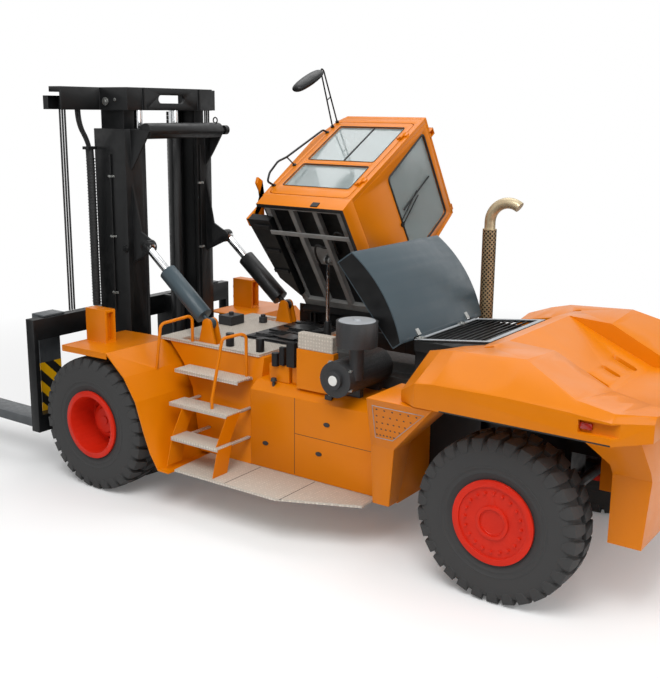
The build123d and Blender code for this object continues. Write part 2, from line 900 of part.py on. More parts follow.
# Forks: a tapered blade and a shank that hooks over the upper bar
for side_name, side in SIDES.items():
    with BuildPart() as fork:
        blade_top = fork_bottom + fork_thickness
        fork_front_x = fork_back_x + fork_thickness
        with BuildSketch(along(side * (fork_y - fork_width / 2))):
            with BuildLine():
                Polyline(
                    (fork_back_x, fork_bottom),
                    (fork_back_x, upper_bar_top + seat_gap),
                    (carriage_rear_x + hook_lip, upper_bar_top + seat_gap),
                    (carriage_rear_x + hook_lip, upper_bar_top + hook_drop),
                    (fork_front_x, upper_bar_top + hook_drop),
                    (fork_front_x, blade_top),
                    (fork_front_x + fork_length, blade_top),
                    (fork_front_x + fork_length, blade_top - fork_tip),
                    (fork_front_x + fork_taper_start, fork_bottom),
                    close=True,
                )
            make_face()
        extrude(amount=-side * fork_width)
    fork.part.label = f"fork_{side_name}"
    export_step(fork.part, f"parts/fork_{side_name}.step")

# Tilt cylinders: a barrel pinned to the frame and a rod pinned to the mast
tilt_run = hypot(tilt_eye_x - tilt_base_x, tilt_eye_z - tilt_base_z)
tilt_x_share = (tilt_eye_x - tilt_base_x) / tilt_run
tilt_z_share = (tilt_eye_z - tilt_base_z) / tilt_run


def on_tilt_line(distance, y):
    """Point on a tilt cylinder's centre line at a distance from its base pin."""
    return (tilt_base_x + distance * tilt_x_share, y, tilt_base_z + distance * tilt_z_share)


for side_name, side in SIDES.items():
    with BuildPart() as tilt_barrel:
        rod_between(on_tilt_line(tilt_barrel_start, side * tilt_y),
                    on_tilt_line(tilt_barrel_length, side * tilt_y),
                    tilt_barrel_radius)
        rod_between(on_tilt_line(0, side * tilt_y), on_tilt_line(tilt_barrel_start, side * tilt_y),
                    tilt_neck_radius)
        with BuildSketch(along(side * (tilt_y - tilt_eye_half))):
            with Locations((tilt_base_x, tilt_base_z)):
                Circle(tilt_base_radius)
        extrude(amount=-side * 2 * tilt_eye_half)
        with BuildSketch(along(side * (tilt_y - tilt_eye_half))):
            with Locations((tilt_base_x, tilt_base_z)):
                Circle(tilt_pin_radius + seat_gap)
        extrude(amount=tilt_barrel_radius, both=True, mode=Mode.SUBTRACT)
        bore_start = on_tilt_line(tilt_bore_start, side * tilt_y)
        with BuildSketch(Plane(origin=bore_start, z_dir=(tilt_x_share, 0, tilt_z_share))):
            Circle(tilt_rod_radius + seat_gap)
        extrude(amount=tilt_barrel_length, mode=Mode.SUBTRACT)
    tilt_barrel.part.label = f"tilt_barrel_{side_name}"
    export_step(tilt_barrel.part, f"parts/tilt_barrel_{side_name}.step")

    with BuildPart() as tilt_rod:
        rod_between(on_tilt_line(tilt_rod_start, side * tilt_y), on_tilt_line(tilt_run, side * tilt_y),
                    tilt_rod_radius)
        with BuildSketch(along(side * (gusset_y + mast_gusset + seat_gap))):
            with Locations((tilt_eye_x, tilt_eye_z)):
                Circle(tilt_eye_radius)
        extrude(amount=-side * (tilt_y + tilt_eye_half - gusset_y - mast_gusset - seat_gap))
        rod_between((tilt_eye_x, side * tilt_y, tilt_eye_z),
                    (tilt_eye_x, side * (tilt_y + tilt_eye_half + tilt_pin_head),
                     tilt_eye_z), tilt_pin_radius)
    tilt_rod.part.label = f"tilt_rod_{side_name}"
    export_step(tilt_rod.part, f"parts/tilt_rod_{side_name}.step")


# Fenders over the front wheels: a folded skin with an outer lip, an inner wall and the lamp box
with BuildPart() as fenders:
    for side in SIDES.values():
        with BuildSketch(along(side * fender_inner_y)):
            with BuildLine():
                Polyline(*fender_line)
            trace(line_width=fender_plate)
        extrude(amount=-side * (fender_outer_y - fender_inner_y))
        with BuildSketch(along(side * (fender_outer_y - fender_plate))):
            with BuildLine():
                Polyline(*[(x, z - fender_lip / 2) for x, z in fender_line[:2]])
            trace(line_width=fender_lip)
        extrude(amount=-side * fender_plate)
        with BuildSketch(along(side * fender_inner_y)):
            with BuildLine():
                Polyline(
                    (fender_wall_front, fender_wall_z),
                    (fender_wall_front, fender_line[1][1]),
                    fender_line[1],
                    fender_line[2],
                    (fender_line[2][0], fender_wall_z),
                    close=True,
                )
            make_face()
        extrude(amount=-side * fender_plate)
        slab(lamp_box_x, (side * lamp_box_y[0], side * lamp_box_y[1]),
             (fender_top - fender_plate, lamp_box_top))
        lamp_mid_y = side * (lamp_box_y[0] + lamp_box_y[1]) / 2
        with BuildSketch(across(lamp_box_x[0], (fender_top + lamp_box_top) / 2, lamp_mid_y)):
            Rectangle(lamp_box_y[1] - lamp_box_y[0] - lamp_recess, lamp_box_top - fender_top - lamp_recess)
        extrude(amount=lamp_recess, mode=Mode.SUBTRACT)
    bent_tube(rail_front, rail_radius, rail_bend)
fenders.part.label = "fenders"
export_step(fenders.part, "parts/fenders.step")

# Side tanks, one closed box each side of the frame with a sloping top edge
with BuildPart() as side_tanks:
    for side in SIDES.values():
        with BuildSketch(across(tank_rear, 0)):
            with BuildLine():
                Polyline(
                    (side * tank_inner_y, tank_bottom),
                    (side * side_wall_y, tank_bottom),
                    (side * side_wall_y, tank_top - tank_slope[1]),
                    (side * (side_wall_y - tank_slope[0]), tank_top),
                    (side * tank_inner_y, tank_top),
                    close=True,
                )
            make_face()
        extrude(amount=tank_front - tank_rear)
side_tanks.part.label = "side_tanks"
export_step(side_tanks.part, "parts/side_tanks.step")

# Cab base: a box each side of the frame whose outer wall leans in behind the steps
deck_bottom = base_outline[-1][1]
with BuildPart() as cab_base:
    for side in SIDES.values():
        with BuildSketch(along(side * tank_inner_y)):
            with BuildLine():
                Polyline(*base_outline, close=True)
            make_face()
        extrude(amount=-side * (side_wall_y - tank_inner_y))
    with BuildSketch(across(base_outline[0][0], 0)):
        with BuildLine():
            Polyline(
                (-side_wall_y, tank_bottom),
                (side_wall_y, tank_bottom),
                (base_wall_top_y, deck_bottom),
                (-base_wall_top_y, deck_bottom),
                close=True,
            )
        make_face()
    extrude(amount=tank_front - tank_rear, mode=Mode.INTERSECT)
    for side in SIDES.values():
        for inner_y, outer_y in ((bracket_inner_y, tilt_y - tilt_eye_half),
                                 (tilt_y + tilt_eye_half, bracket_outer_y)):
            with BuildSketch(along(side * (inner_y + seat_gap if inner_y > tilt_y else inner_y))):
                with BuildLine():
                    Polyline(
                        (tilt_base_x - bracket_half, deck_bottom - deck_plate),
                        (tilt_base_x - tilt_base_radius, tilt_base_z),
                        (tilt_base_x + tilt_base_radius, tilt_base_z),
                        (tilt_base_x + bracket_half, deck_bottom - deck_plate),
                        close=True,
                    )
                make_face()
                with Locations((tilt_base_x, tilt_base_z)):
                    Circle(tilt_base_radius)
            extrude(amount=-side * (outer_y - inner_y - seat_gap))
        rod_between((tilt_base_x, side * bracket_inner_y, tilt_base_z),
                    (tilt_base_x, side * bracket_outer_y, tilt_base_z),
                    tilt_pin_radius)
cab_base.part.label = "cab_base"
export_step(cab_base.part, "parts/cab_base.step")

# Deck: a plate on four posts, open where the tilt cylinders pass
with BuildPart() as deck:
    slab((deck_rear, deck_front), (-deck_half, deck_half), (deck_bottom, deck_bottom + deck_plate))
    for side in SIDES.values():
        for post_x in (deck_rear, deck_front - bracket_half):
            slab((post_x, post_x + bracket_half), (side * frame_plate_inner, side * frame_plate_outer),
                 (frame_top, deck_bottom))
    with BuildSketch(Plane.XY.offset(deck_bottom)):
        with Locations(*[(tilt_base_x + tilt_barrel_start, side * tilt_y) for side in SIDES.values()]):
            Rectangle(4 * bracket_half, bracket_outer_y - bracket_inner_y + 2 * fork_clearance)
    extrude(amount=deck_plate, mode=Mode.SUBTRACT)
deck.part.label = "deck"
export_step(deck.part, "parts/deck.step")

def base_wall(z):
    """Distance of the cab base's leaning wall from the middle plane at a height."""
    rise_share = (z - tank_bottom) / (deck_bottom - tank_bottom)
    return side_wall_y + rise_share * (base_wall_top_y - side_wall_y)


# Steps: folded treads on hangers that reach the leaning wall, and the tapering running board below them
with BuildPart() as steps:
    for side in SIDES.values():
        with BuildSketch(Plane.XY.offset(board_z - board_plate)):
            with BuildLine():
                Polyline(*[(x, side * y) for x, y in board_outline], close=True)
            make_face()
        extrude(amount=board_plate)
        for height, outer_y, inner_y, front_x, end_x in step_table:
            slab((front_x, end_x), (side * inner_y, side * outer_y), (height - step_plate, height))
            slab((front_x, end_x), (side * (outer_y - fender_plate), side * outer_y),
                 (height - 2 * step_plate, height))
            for hanger_x in (front_x - step_hanger, end_x + step_hanger):
                slab((hanger_x - step_hanger / 2, hanger_x + step_hanger / 2),
                     (side * (base_wall(height - 2 * step_plate) + seat_gap),
                      side * (inner_y + step_hanger)),
                     (height - 2 * step_plate, height - step_plate))
steps.part.label = "steps"
export_step(steps.part, "parts/steps.step")

# Rear arches: ruled pillars from the running board up to the tail
with BuildPart() as rear_arches:
    for side in SIDES.values():
        for height, rear_end, front_end, outer_y in arch_sections:
            with BuildSketch(Plane.XY.offset(height)):
                with BuildLine():
                    Polyline(
                        (rear_end, side * arch_inner_y),
                        (front_end, side * arch_inner_y),
                        (front_end, side * outer_y),
                        (rear_end, side * outer_y),
                        close=True,
                    )
                make_face()
        loft(ruled=True)
rear_arches.part.label = "rear_arches"
export_step(rear_arches.part, "parts/rear_arches.step")

# Tail: a heavy casting lofted from a table of sections, with a sloping channel and slots in its top
with BuildPart() as tail:
    for section_x, foot_half, crease_half, crease_z, ridge_half, ridge_z in tail_sections:
        with BuildSketch(across(section_x, 0)):
            with BuildLine():
                Polyline(
                    (-foot_half, tail_bottom),
                    (foot_half, tail_bottom),
                    (crease_half, crease_z),
                    (ridge_half, ridge_z),
                    (-ridge_half, ridge_z),
                    (-crease_half, crease_z),
                    close=True,
                )
            make_face()
    loft(ruled=True)
    slab((bay_rear, 0), (-bay_half, bay_half), (0, 2 * grille_z[1]), Mode.SUBTRACT)
    with BuildSketch(along(0)):
        with BuildLine():
            Polyline(*channel_floor, (channel_floor[-1][0], 2 * grille_z[1]),
                     (channel_floor[0][0], 2 * grille_z[1]),
                     close=True)
        make_face()
    extrude(amount=channel_half, both=True, mode=Mode.SUBTRACT)
    with BuildSketch(Plane.XY.offset(channel_floor[1][1] - slot_depth / 2)):
        for slot_y, slot_length, slot_width in slot_table:
            with Locations((slot_x, slot_y)):
                SlotOverall(slot_length, slot_width)
    extrude(amount=tail_bottom, mode=Mode.SUBTRACT)
    with BuildSketch(Plane.XY.offset(grille_z[1])):
        with Locations((eye_slot_x, eye_slot_y), (eye_slot_x, -eye_slot_y)):
            Circle(eye_slot_radius)
    extrude(amount=tail_bottom, mode=Mode.SUBTRACT)
    for side in SIDES.values():
        slab(lamp_pocket_x, (side * (tail_sections[0][1] + lamp_pocket_depth), side * board_outer_y * 2),
             lamp_pocket_z, Mode.SUBTRACT)
tail.part.label = "tail"
export_step(tail.part, "parts/tail.step")

# Counterweight under the tail: a block behind the rear wheels with a tongue that meets the frame
with BuildPart() as counterweight:
    with BuildSketch(along(0)):
        with BuildLine():
            Polyline(*weight_outline, close=True)
        make_face()
    extrude(amount=weight_flare_half, both=True)
    with BuildSketch(across(weight_outline[-1][0] * 2, 0)):
        with BuildLine():
            Polyline(
                (-weight_half, 0),
                (weight_half, 0),
                (weight_half, weight_flare_z),
                (weight_flare_half, tail_bottom),
                (-weight_flare_half, tail_bottom),
                (-weight_half, weight_flare_z),
                close=True,
            )
        make_face()
    extrude(amount=-2 * weight_outline[-1][0], mode=Mode.INTERSECT)
    slab((weight_outline[0][0] - weight_corner, rear_beam_rear), (-tongue_half, tongue_half),
         (tongue_bottom, tail_bottom - seat_gap))
    slab((weight_outline[4][0], weight_outline[4][0] + tow_slot_depth), (-tow_slot_half, tow_slot_half),
         tow_slot_z,
         Mode.SUBTRACT)
    with BuildSketch(Plane.XY.offset(weight_outline[0][1])):
        with Locations((weight_outline[4][0] + tow_bore_back, 0)):
            Circle(tow_bore_radius)
    extrude(amount=tow_bore_length, mode=Mode.SUBTRACT)
counterweight.part.label = "counterweight"
export_step(counterweight.part, "parts/counterweight.step")

# Radiator box between the frame beams and the grille
with BuildPart() as radiator:
    slab((bay_rear + seat_gap, radiator_front), (-radiator_half, radiator_half),
         (radiator_bottom, radiator_top))
    slab((bay_rear + seat_gap, radiator_front), (-rear_beam_outer, rear_beam_outer),
         (rear_beam_top, radiator_bottom))
radiator.part.label = "radiator"
export_step(radiator.part, "parts/radiator.step")

# Grille over the radiator: a sloping frame with slats across the truck
grille_run = hypot(grille_rear - grille_front, grille_z[1] - grille_z[0])
grille_plane = Plane(
    origin=(grille_front, 0, grille_z[0]),
    x_dir=(0, 1, 0),
    z_dir=(grille_z[1] - grille_z[0], 0, grille_front - grille_rear),
)
with BuildPart() as grille:
    with BuildSketch(grille_plane):
        with Locations((0, grille_run / 2)):
            Rectangle(2 * grille_half, grille_run)
            Rectangle(2 * (grille_half - grille_bar), grille_run - 2 * grille_bar, mode=Mode.SUBTRACT)
    extrude(amount=-grille_plate)
    slat_pitch = (grille_run - 2 * grille_bar) / grille_slats
    with BuildSketch(grille_plane.offset(-grille_plate)):
        with Locations((0, grille_run / 2)):
            with GridLocations(0, slat_pitch, 1, grille_slats):
                Rectangle(2 * (grille_half - grille_bar), grille_slat)
    extrude(amount=grille_plate - grille_slat / 2)
    slab((grille_front - grille_bar, grille_front), (-grille_half, grille_half),
         (radiator_top + seat_gap, grille_z[0] - grille_plate / 2))
    for side in SIDES.values():
        knuckle_y = side * (hood_knuckle_y + hood_knuckle + seat_gap)
        rod_between((hood_hinge_x, knuckle_y, hood_hinge_z),
                    (hood_hinge_x, side * (hood_knuckle_y + 2 * hood_knuckle),
                     hood_hinge_z), hood_knuckle_radius)
        slab((grille_front - hood_knuckle_radius, hood_hinge_x),
             (knuckle_y, side * (hood_knuckle_y + 2 * hood_knuckle)),
             (hood_hinge_z - hood_knuckle_radius, hood_hinge_z))
grille.part.label = "grille"
export_step(grille.part, "parts/grille.step")

# Engine block with its valve cover, standing on the belly plate
with BuildPart() as engine:
    slab(engine_x, (-engine_y, engine_y), engine_z)
    slab((engine_x[0] + engine_cover_inset, engine_x[1] - engine_cover_inset),
         (-engine_y + 2 * engine_cover_inset, engine_y - 2 * engine_cover_inset),
         (engine_z[1], engine_z[1] + engine_cover))
    slab((engine_x[0] + 2 * engine_cover_inset, engine_x[1] - 2 * engine_cover_inset),
         (-engine_cover, engine_cover),
         (frame_bottom + belly_plate, engine_z[0]))
engine.part.label = "engine"
export_step(engine.part, "parts/engine.step")

# Air cleaner across the tank top, with the pre-cleaner drum on its neck
with BuildPart() as air_cleaner:
    rod_between((cleaner_x, cleaner_y[0], cleaner_z), (cleaner_x, cleaner_y[1], cleaner_z), cleaner_radius)
    rod_between((cleaner_x, cleaner_y[1], cleaner_z), (cleaner_x, cleaner_y[1] + cleaner_cap, cleaner_z),
                cleaner_radius / 2)
    rod_between((drum_x, drum_y, cleaner_z), (drum_x, drum_y, drum_z[0]), drum_neck)
    rod_between((drum_x, drum_y, drum_z[0]), (drum_x, drum_y, drum_z[1]), drum_body_radius)
    for foot_y in (cleaner_y[0] + cleaner_foot, cleaner_y[1] - 6 * cleaner_foot):
        slab((cleaner_x - cleaner_radius / 2, cleaner_x + cleaner_radius / 2),
             (foot_y, foot_y + cleaner_foot),
             (tank_top, cleaner_z))
air_cleaner.part.label = "air_cleaner"
export_step(air_cleaner.part, "parts/air_cleaner.step")

# Exhaust: a straight shield and a tip that curves to the rear
with BuildPart() as exhaust:
    rod_between((exhaust_x, exhaust_y, tank_top), (exhaust_x, exhaust_y, exhaust_top), exhaust_radius)
    with BuildLine() as tip_path:
        Line((exhaust_x, exhaust_y, exhaust_top), (exhaust_x, exhaust_y, exhaust_top + exhaust_radius))
        TangentArc((exhaust_x, exhaust_y, exhaust_top + exhaust_radius),
                   (exhaust_tip[0], exhaust_y, exhaust_tip[1]),
                   tangent=(0, 0, 1))
    with BuildSketch(Plane.XY.offset(exhaust_top).move(Location((exhaust_x, exhaust_y, 0)))):
        Circle(exhaust_pipe)
    sweep(path=tip_path.line)
exhaust.part.label = "exhaust"
export_step(exhaust.part, "parts/exhaust.step")

# Boxes that stand on the left tank and deck edge
with BuildPart() as deck_gear:
    for x_range, y_range, top in deck_box_table:
        slab(x_range, y_range, (tank_top, top))
deck_gear.part.label = "deck_gear"
export_step(deck_gear.part, "parts/deck_gear.step")


# Handrail behind the left steps, bent from one tube
with BuildPart() as handrail:
    bent_tube(rail_rear, rail_radius, rail_bend)
handrail.part.label = "handrail"
export_step(handrail.part, "parts/handrail.step")

# Hood, drawn open about its rear hinge: a bowed skin with a front lip and side skirts
hood_plane = Plane(
    origin=(hood_hinge_x, 0, hood_hinge_z),
    x_dir=(cos(radians(hood_open)), 0, sin(radians(hood_open))),
    z_dir=(0, -1, 0),
)
with BuildPart() as hood:
    with BuildSketch(hood_plane):
        with BuildLine():
            ThreePointArc((0, 0), (hood_length / 2, hood_bulge), (hood_length, 0))
            Polyline((hood_length, 0), (hood_length, -hood_lip), (0, -hood_skirt), (0, 0))
        make_face()
    extrude(amount=hood_half, both=True)
    with BuildSketch(hood_plane):
        with BuildLine():
            ThreePointArc((-hood_wall, -hood_wall), (hood_length / 2, hood_bulge - hood_wall),
                          (hood_length - hood_wall, -hood_wall))
            Polyline((hood_length - hood_wall, -hood_wall), (hood_length - hood_wall, -2 * hood_lip),
                     (-hood_wall, -2 * hood_lip), (-hood_wall, -hood_wall))
        make_face()
    extrude(amount=hood_half - hood_wall, both=True, mode=Mode.SUBTRACT)
    for side in SIDES.values():
        with BuildSketch(along(side * (hood_knuckle_y + hood_knuckle))):
            with Locations((hood_hinge_x, hood_hinge_z)):
                Circle(hood_knuckle_radius + fork_clearance)
        extrude(amount=-side * (hood_knuckle + fork_clearance), mode=Mode.SUBTRACT)
        rod_between((hood_hinge_x, side * hood_knuckle_y, hood_hinge_z),
                    (hood_hinge_x, side * (hood_knuckle_y + hood_knuckle),
                     hood_hinge_z), hood_knuckle_radius)
hood.part.label = "hood"
export_step(hood.part, "parts/hood.step")


# Cab mounts: hinge posts on the deck's right edge, and two rests on its left
cab_hinge = Axis((0, cab_hinge_y, cab_hinge_z), (1, 0, 0))
deck_top = deck_bottom + deck_plate
with BuildPart() as cab_mounts:
    for lug_x in hinge_x:
        for end in (-1, 1):
            face_x = lug_x + end * (hinge_lug / 2 + seat_gap)
            with BuildSketch(across(face_x, 0)):
                with Locations((cab_hinge_y, (deck_top + cab_hinge_z) / 2)):
                    Rectangle(2 * hinge_post_radius, cab_hinge_z - deck_top)
                with Locations((cab_hinge_y, cab_hinge_z)):
                    Circle(hinge_post_radius)
            extrude(amount=end * hinge_post)
        slab((lug_x - 2 * hinge_lug, lug_x + 2 * hinge_lug), (cab_hinge_y - 2 * hinge_post_radius,
                                                              -deck_half + hinge_lug),
             (deck_top, deck_top + fender_plate))
        rod_between((lug_x - hinge_lug, cab_hinge_y, cab_hinge_z),
                    (lug_x + hinge_lug, cab_hinge_y, cab_hinge_z),
                    hinge_pin_radius)
        rod_between((lug_x, rest_y, deck_top), (lug_x, rest_y,
                                                cab_floor_z - skirt_plate - fork_clearance), rest_radius)
cab_mounts.part.label = "cab_mounts"
export_step(cab_mounts.part, "parts/cab_mounts.step")


# Cab: every piece is drawn as it rides closed, then turned about the hinge to its tilted place
def cab_form(inset):
    """Outer form of the cab, or the same form set in by a wall."""
    with BuildPart(mode=Mode.PRIVATE) as form:
        with BuildSketch(along(0)):
            with BuildLine():
                Polyline(*cab_outline, close=True)
            make_face()
            if inset:
                offset(amount=-inset, kind=Kind.INTERSECTION)
        extrude(amount=cab_half, both=True)
        with BuildSketch(across(cab_rear_x, 0)):
            with BuildLine():
                Polyline(
                    (inset - cab_half, cab_floor_z),
                    (cab_half - inset, cab_floor_z),
                    (cab_roof_half - inset, cab_roof_z),
                    (inset - cab_roof_half, cab_roof_z),
                    close=True,
                )
            make_face()
        extrude(amount=-2 * cab_rear_x, mode=Mode.INTERSECT)
        with BuildSketch(Plane.XY):
            for side in SIDES.values():
                with BuildLine():
                    Polyline(
                        (cab_nose_x, side * (cab_half - cab_nose_corner - inset)),
                        (cab_nose_x, side * 2 * cab_half),
                        (cab_nose_x - 3 * cab_nose_corner, side * 2 * cab_half),
                        (cab_nose_x - cab_nose_corner - inset, side * cab_half),
                        close=True,
                    )
                make_face()
        extrude(amount=2 * cab_roof_z, mode=Mode.SUBTRACT)
    return form.part


def cab_layer(outside, inside):
    """Closed layer of the cab's wall between two depths."""
    with BuildPart(mode=Mode.PRIVATE) as layer:
        add(cab_form(outside))
        add(cab_form(inside), mode=Mode.SUBTRACT)
    return layer.part


def window_blocks(gap):
    """Blocks that pass through the cab's walls where its fixed windows are."""
    with BuildPart(mode=Mode.PRIVATE) as blocks:
        with BuildSketch(across(cab_rear_x, sum(rear_window_z) / 2)):
            RectangleRounded(2 * (rear_window_half - gap), rear_window_z[1] - rear_window_z[0] - 2 * gap,
                             window_corner)
        extrude(amount=2 * cab_wall, both=True)
        with BuildSketch(across(cab_nose_x, sum(front_window_z) / 2)):
            RectangleRounded(2 * (front_window_half - gap), front_window_z[1] - front_window_z[0] - 2 * gap,
                             window_corner)
        extrude(amount=-2 * cab_nose_corner)
        with BuildSketch(along(-cab_roof_half)):
            with Locations((sum(side_window_x) / 2, sum(side_window_z) / 2)):
                RectangleRounded(side_window_x[1] - side_window_x[0] - 2 * gap,
                                 side_window_z[1] - side_window_z[0] - 2 * gap, window_corner)
        extrude(amount=cab_half - cab_roof_half + cab_wall, both=True)
        with BuildSketch(Plane.XY.offset(cab_roof_z)):
            with Locations((sum(roof_window_x) / 2, 0)):
                RectangleRounded(roof_window_x[1] - roof_window_x[0] - 2 * gap,
                                 2 * (roof_window_half - gap),
                                 window_corner)
        extrude(amount=2 * cab_wall, both=True)
    return blocks.part


def door_block(gap):
    """Block through the left wall that takes the door, wider by a gap."""
    with BuildPart(mode=Mode.PRIVATE) as block:
        with BuildSketch(along(cab_half + cab_wall)):
            with Locations((sum(door_x) / 2, sum(door_z) / 2)):
                RectangleRounded(door_x[1] - door_x[0] + 2 * gap, door_z[1] - door_z[0] + 2 * gap,
                                 window_corner)
        extrude(amount=cab_half - cab_roof_half + 3 * cab_wall)
    return block.part


def door_window_blocks(gap):
    """Blocks through the door where its two windows are."""
    with BuildPart(mode=Mode.PRIVATE) as blocks:
        with BuildSketch(along(cab_half + cab_wall)):
            for low, high in (door_window_low, door_window_high):
                with Locations((sum(door_x) / 2, (low + high) / 2)):
                    RectangleRounded(door_x[1] - door_x[0] - 2 * door_frame - 2 * gap, high - low - 2 * gap,
                                     window_corner / 2)
        extrude(amount=cab_half - cab_roof_half + 3 * cab_wall)
    return blocks.part


def tilted(piece, label):
    """Cab piece turned about the cab hinge from its closed place to its tilted one."""
    placed = piece.rotate(cab_hinge, cab_tilt)
    placed.label = label
    return placed


wall_lean = atan2(cab_half - cab_roof_half, cab_roof_z - cab_floor_z)
wall_plane = Plane(origin=(0, cab_half, cab_floor_z), x_dir=(1, 0, 0),
                   z_dir=(0, cos(wall_lean), sin(wall_lean)))
door_hinge_x = door_x[0] - door_gap / 2


def hinge_barrels(start, leaf_reach):
    """Barrels of the door's two hinges from a start height, with leaves that reach forward or back."""
    for height in (door_hinge_low, door_hinge_high):
        with Locations(wall_plane.location):
            with Locations((door_hinge_x, -height - start - door_hinge_length / 4, door_hinge_out)):
                Cylinder(door_hinge_radius, door_hinge_length / 2 - seat_gap, rotation=(90, 0, 0))
            with Locations((door_hinge_x + leaf_reach / 2, -height - start - door_hinge_length / 4,
                            door_hinge_out / 2)):
                Box(abs(leaf_reach), door_hinge_length / 2 - seat_gap, door_hinge_out)


with BuildPart() as cab_shell:
    add(cab_layer(0, cab_wall))
    add(window_blocks(0), mode=Mode.SUBTRACT)
    add(door_block(door_gap), mode=Mode.SUBTRACT)
    slab((cab_rear_x, cab_rear_x + cab_wall), (-cab_half, cab_half), (skirt_bottom, cab_floor_z))
    for side in SIDES.values():
        slab((cab_rear_x, cab_front_x), (side * (cab_half - cab_wall), side * cab_half),
             (skirt_bottom, cab_floor_z))
    for lug_x in hinge_x:
        with BuildSketch(across(lug_x - hinge_lug / 2, 0)):
            with Locations((cab_hinge_y, cab_hinge_z)):
                Circle(hinge_lug_radius)
            with Locations(((cab_hinge_y - cab_half + cab_wall) / 2, cab_hinge_z)):
                Rectangle(cab_wall - cab_half - cab_hinge_y, 2 * hinge_lug_radius)
            with Locations((cab_hinge_y, cab_hinge_z)):
                Circle(hinge_pin_radius + seat_gap, mode=Mode.SUBTRACT)
        extrude(amount=hinge_lug)
    hinge_barrels(door_hinge_length / 2, -3 * door_hinge_radius)


def side_block(side):
    """Block that takes the whole of one leaning side wall."""
    with BuildPart(mode=Mode.PRIVATE) as block:
        with BuildSketch(across(2 * cab_rear_x, 0)):
            with BuildLine():
                Polyline(
                    (side * (cab_half - cab_wall - wall_seam), cab_floor_z),
                    (side * 2 * cab_half, cab_floor_z),
                    (side * 2 * cab_half, cab_roof_z),
                    (side * (cab_roof_half - cab_wall - wall_seam), cab_roof_z),
                    close=True,
                )
            make_face()
        extrude(amount=-2 * cab_rear_x)
    return block.part


def level_block(low, high, rear_x, front_x):
    """Block across the whole cab between two heights and two places along it."""
    with BuildPart(mode=Mode.PRIVATE) as block:
        slab((rear_x, front_x), (-2 * cab_half, 2 * cab_half), (low, high))
    return block.part


# Panels of the cab, each cut from what the panels before it left: name, block that holds the panel
panel_table = (
    ("cab_roof", level_block(roof_seam_z, 2 * cab_roof_z, 2 * cab_rear_x, 0)),
    ("cab_floor", level_block(0, floor_seam_z, 2 * cab_rear_x, 0)),
    ("cab_side_left", side_block(1)),
    ("cab_side_right", side_block(-1)),
    ("cab_back", level_block(0, 2 * cab_roof_z, 2 * cab_rear_x, cab_rear_x + cab_wall + wall_seam)),
    ("cab_nose", level_block(0, 2 * cab_roof_z, 2 * cab_rear_x, 0)),
)
uncut = cab_shell.part
for panel_name, block in panel_table:
    with BuildPart() as panel:
        add(uncut)
        add(block, mode=Mode.INTERSECT)
    export_step(tilted(panel.part, panel_name), f"parts/{panel_name}.step")
    with BuildPart() as remainder:
        add(uncut)
        add(block, mode=Mode.SUBTRACT)
    uncut = remainder.part

with BuildPart() as cab_glass:
    add(cab_layer((cab_wall - glass_plate) / 2, (cab_wall + glass_plate) / 2))
    add(window_blocks(seat_gap), mode=Mode.INTERSECT)
export_step(tilted(cab_glass.part, "cab_glass"), "parts/cab_glass.step")

with BuildPart() as cab_door:
    add(cab_layer(0, cab_wall))
    add(door_block(0), mode=Mode.INTERSECT)
    add(door_window_blocks(0), mode=Mode.SUBTRACT)
    hinge_barrels(0, 3 * door_hinge_radius)
export_step(tilted(cab_door.part, "cab_door"), "parts/cab_door.step")

with BuildPart() as door_glass:
    add(cab_layer((cab_wall - glass_plate) / 2, (cab_wall + glass_plate) / 2))
    add(door_window_blocks(seat_gap), mode=Mode.INTERSECT)
export_step(tilted(door_glass.part, "door_glass"), "parts/door_glass.step")


def closed_place(y, z):
    """Where a point of the tilted cab lies when the cab is closed."""
    turn = radians(-cab_tilt)
    reach = y - cab_hinge_y
    rise = z - cab_hinge_z
    return (cab_hinge_y + reach * cos(turn) - rise * sin(turn),
            cab_hinge_z + reach * sin(turn) + rise * cos(turn))


# Underframe: two long bars and the crossbars under the floor, with the ears for the ram that tilts the cab
head_y, head_z = closed_place(*lift_head)
with BuildPart() as cab_underframe:
    for side in SIDES.values():
        slab((cab_rear_x + cab_wall, cab_front_x), (side * (cab_half - 3 * cab_wall),
                                                    side * (cab_half - cab_wall)),
             (cab_floor_z - skirt_plate, cab_floor_z))
    for bar_x in underframe_bars:
        slab((bar_x, bar_x + skirt_plate), (-cab_half + cab_wall, cab_half - cab_wall),
             (cab_floor_z - skirt_plate, cab_floor_z))
    slab((underframe_bars[1], underframe_bars[2]), (-2 * skirt_plate, 2 * skirt_plate),
         (cab_floor_z - fender_plate, cab_floor_z))
    for end in (-1, 1):
        with BuildSketch(across(lift_x + end * (lift_eye_half + seat_gap), 0)):
            with Locations((head_y, head_z)):
                Circle(lift_eye_radius)
            with Locations((head_y, (head_z + cab_floor_z) / 2)):
                Rectangle(2 * lift_eye_radius, cab_floor_z - head_z)
        extrude(amount=end * lift_ear)
        rod_between((lift_x + end * (lift_eye_half + lift_ear), head_y, head_z),
                    (lift_x + end * (lift_eye_half + 2 * lift_ear), head_y, head_z), lift_pin_radius)
export_step(tilted(cab_underframe.part, "cab_underframe"), "parts/cab_underframe.step")

# Driver's seat on its post
with BuildPart() as cab_seat:
    slab(seat_x, (-seat_half, seat_half), seat_z)
    slab((seat_x[0] - seat_back_thick, seat_x[0]), (-seat_half, seat_half), (seat_z[0], seat_back_top))
    slab((sum(seat_x) / 2 - seat_post, sum(seat_x) / 2 + seat_post), (-seat_post, seat_post),
         (floor_top, seat_z[0]))
export_step(tilted(cab_seat.part, "cab_seat"), "parts/cab_seat.step")

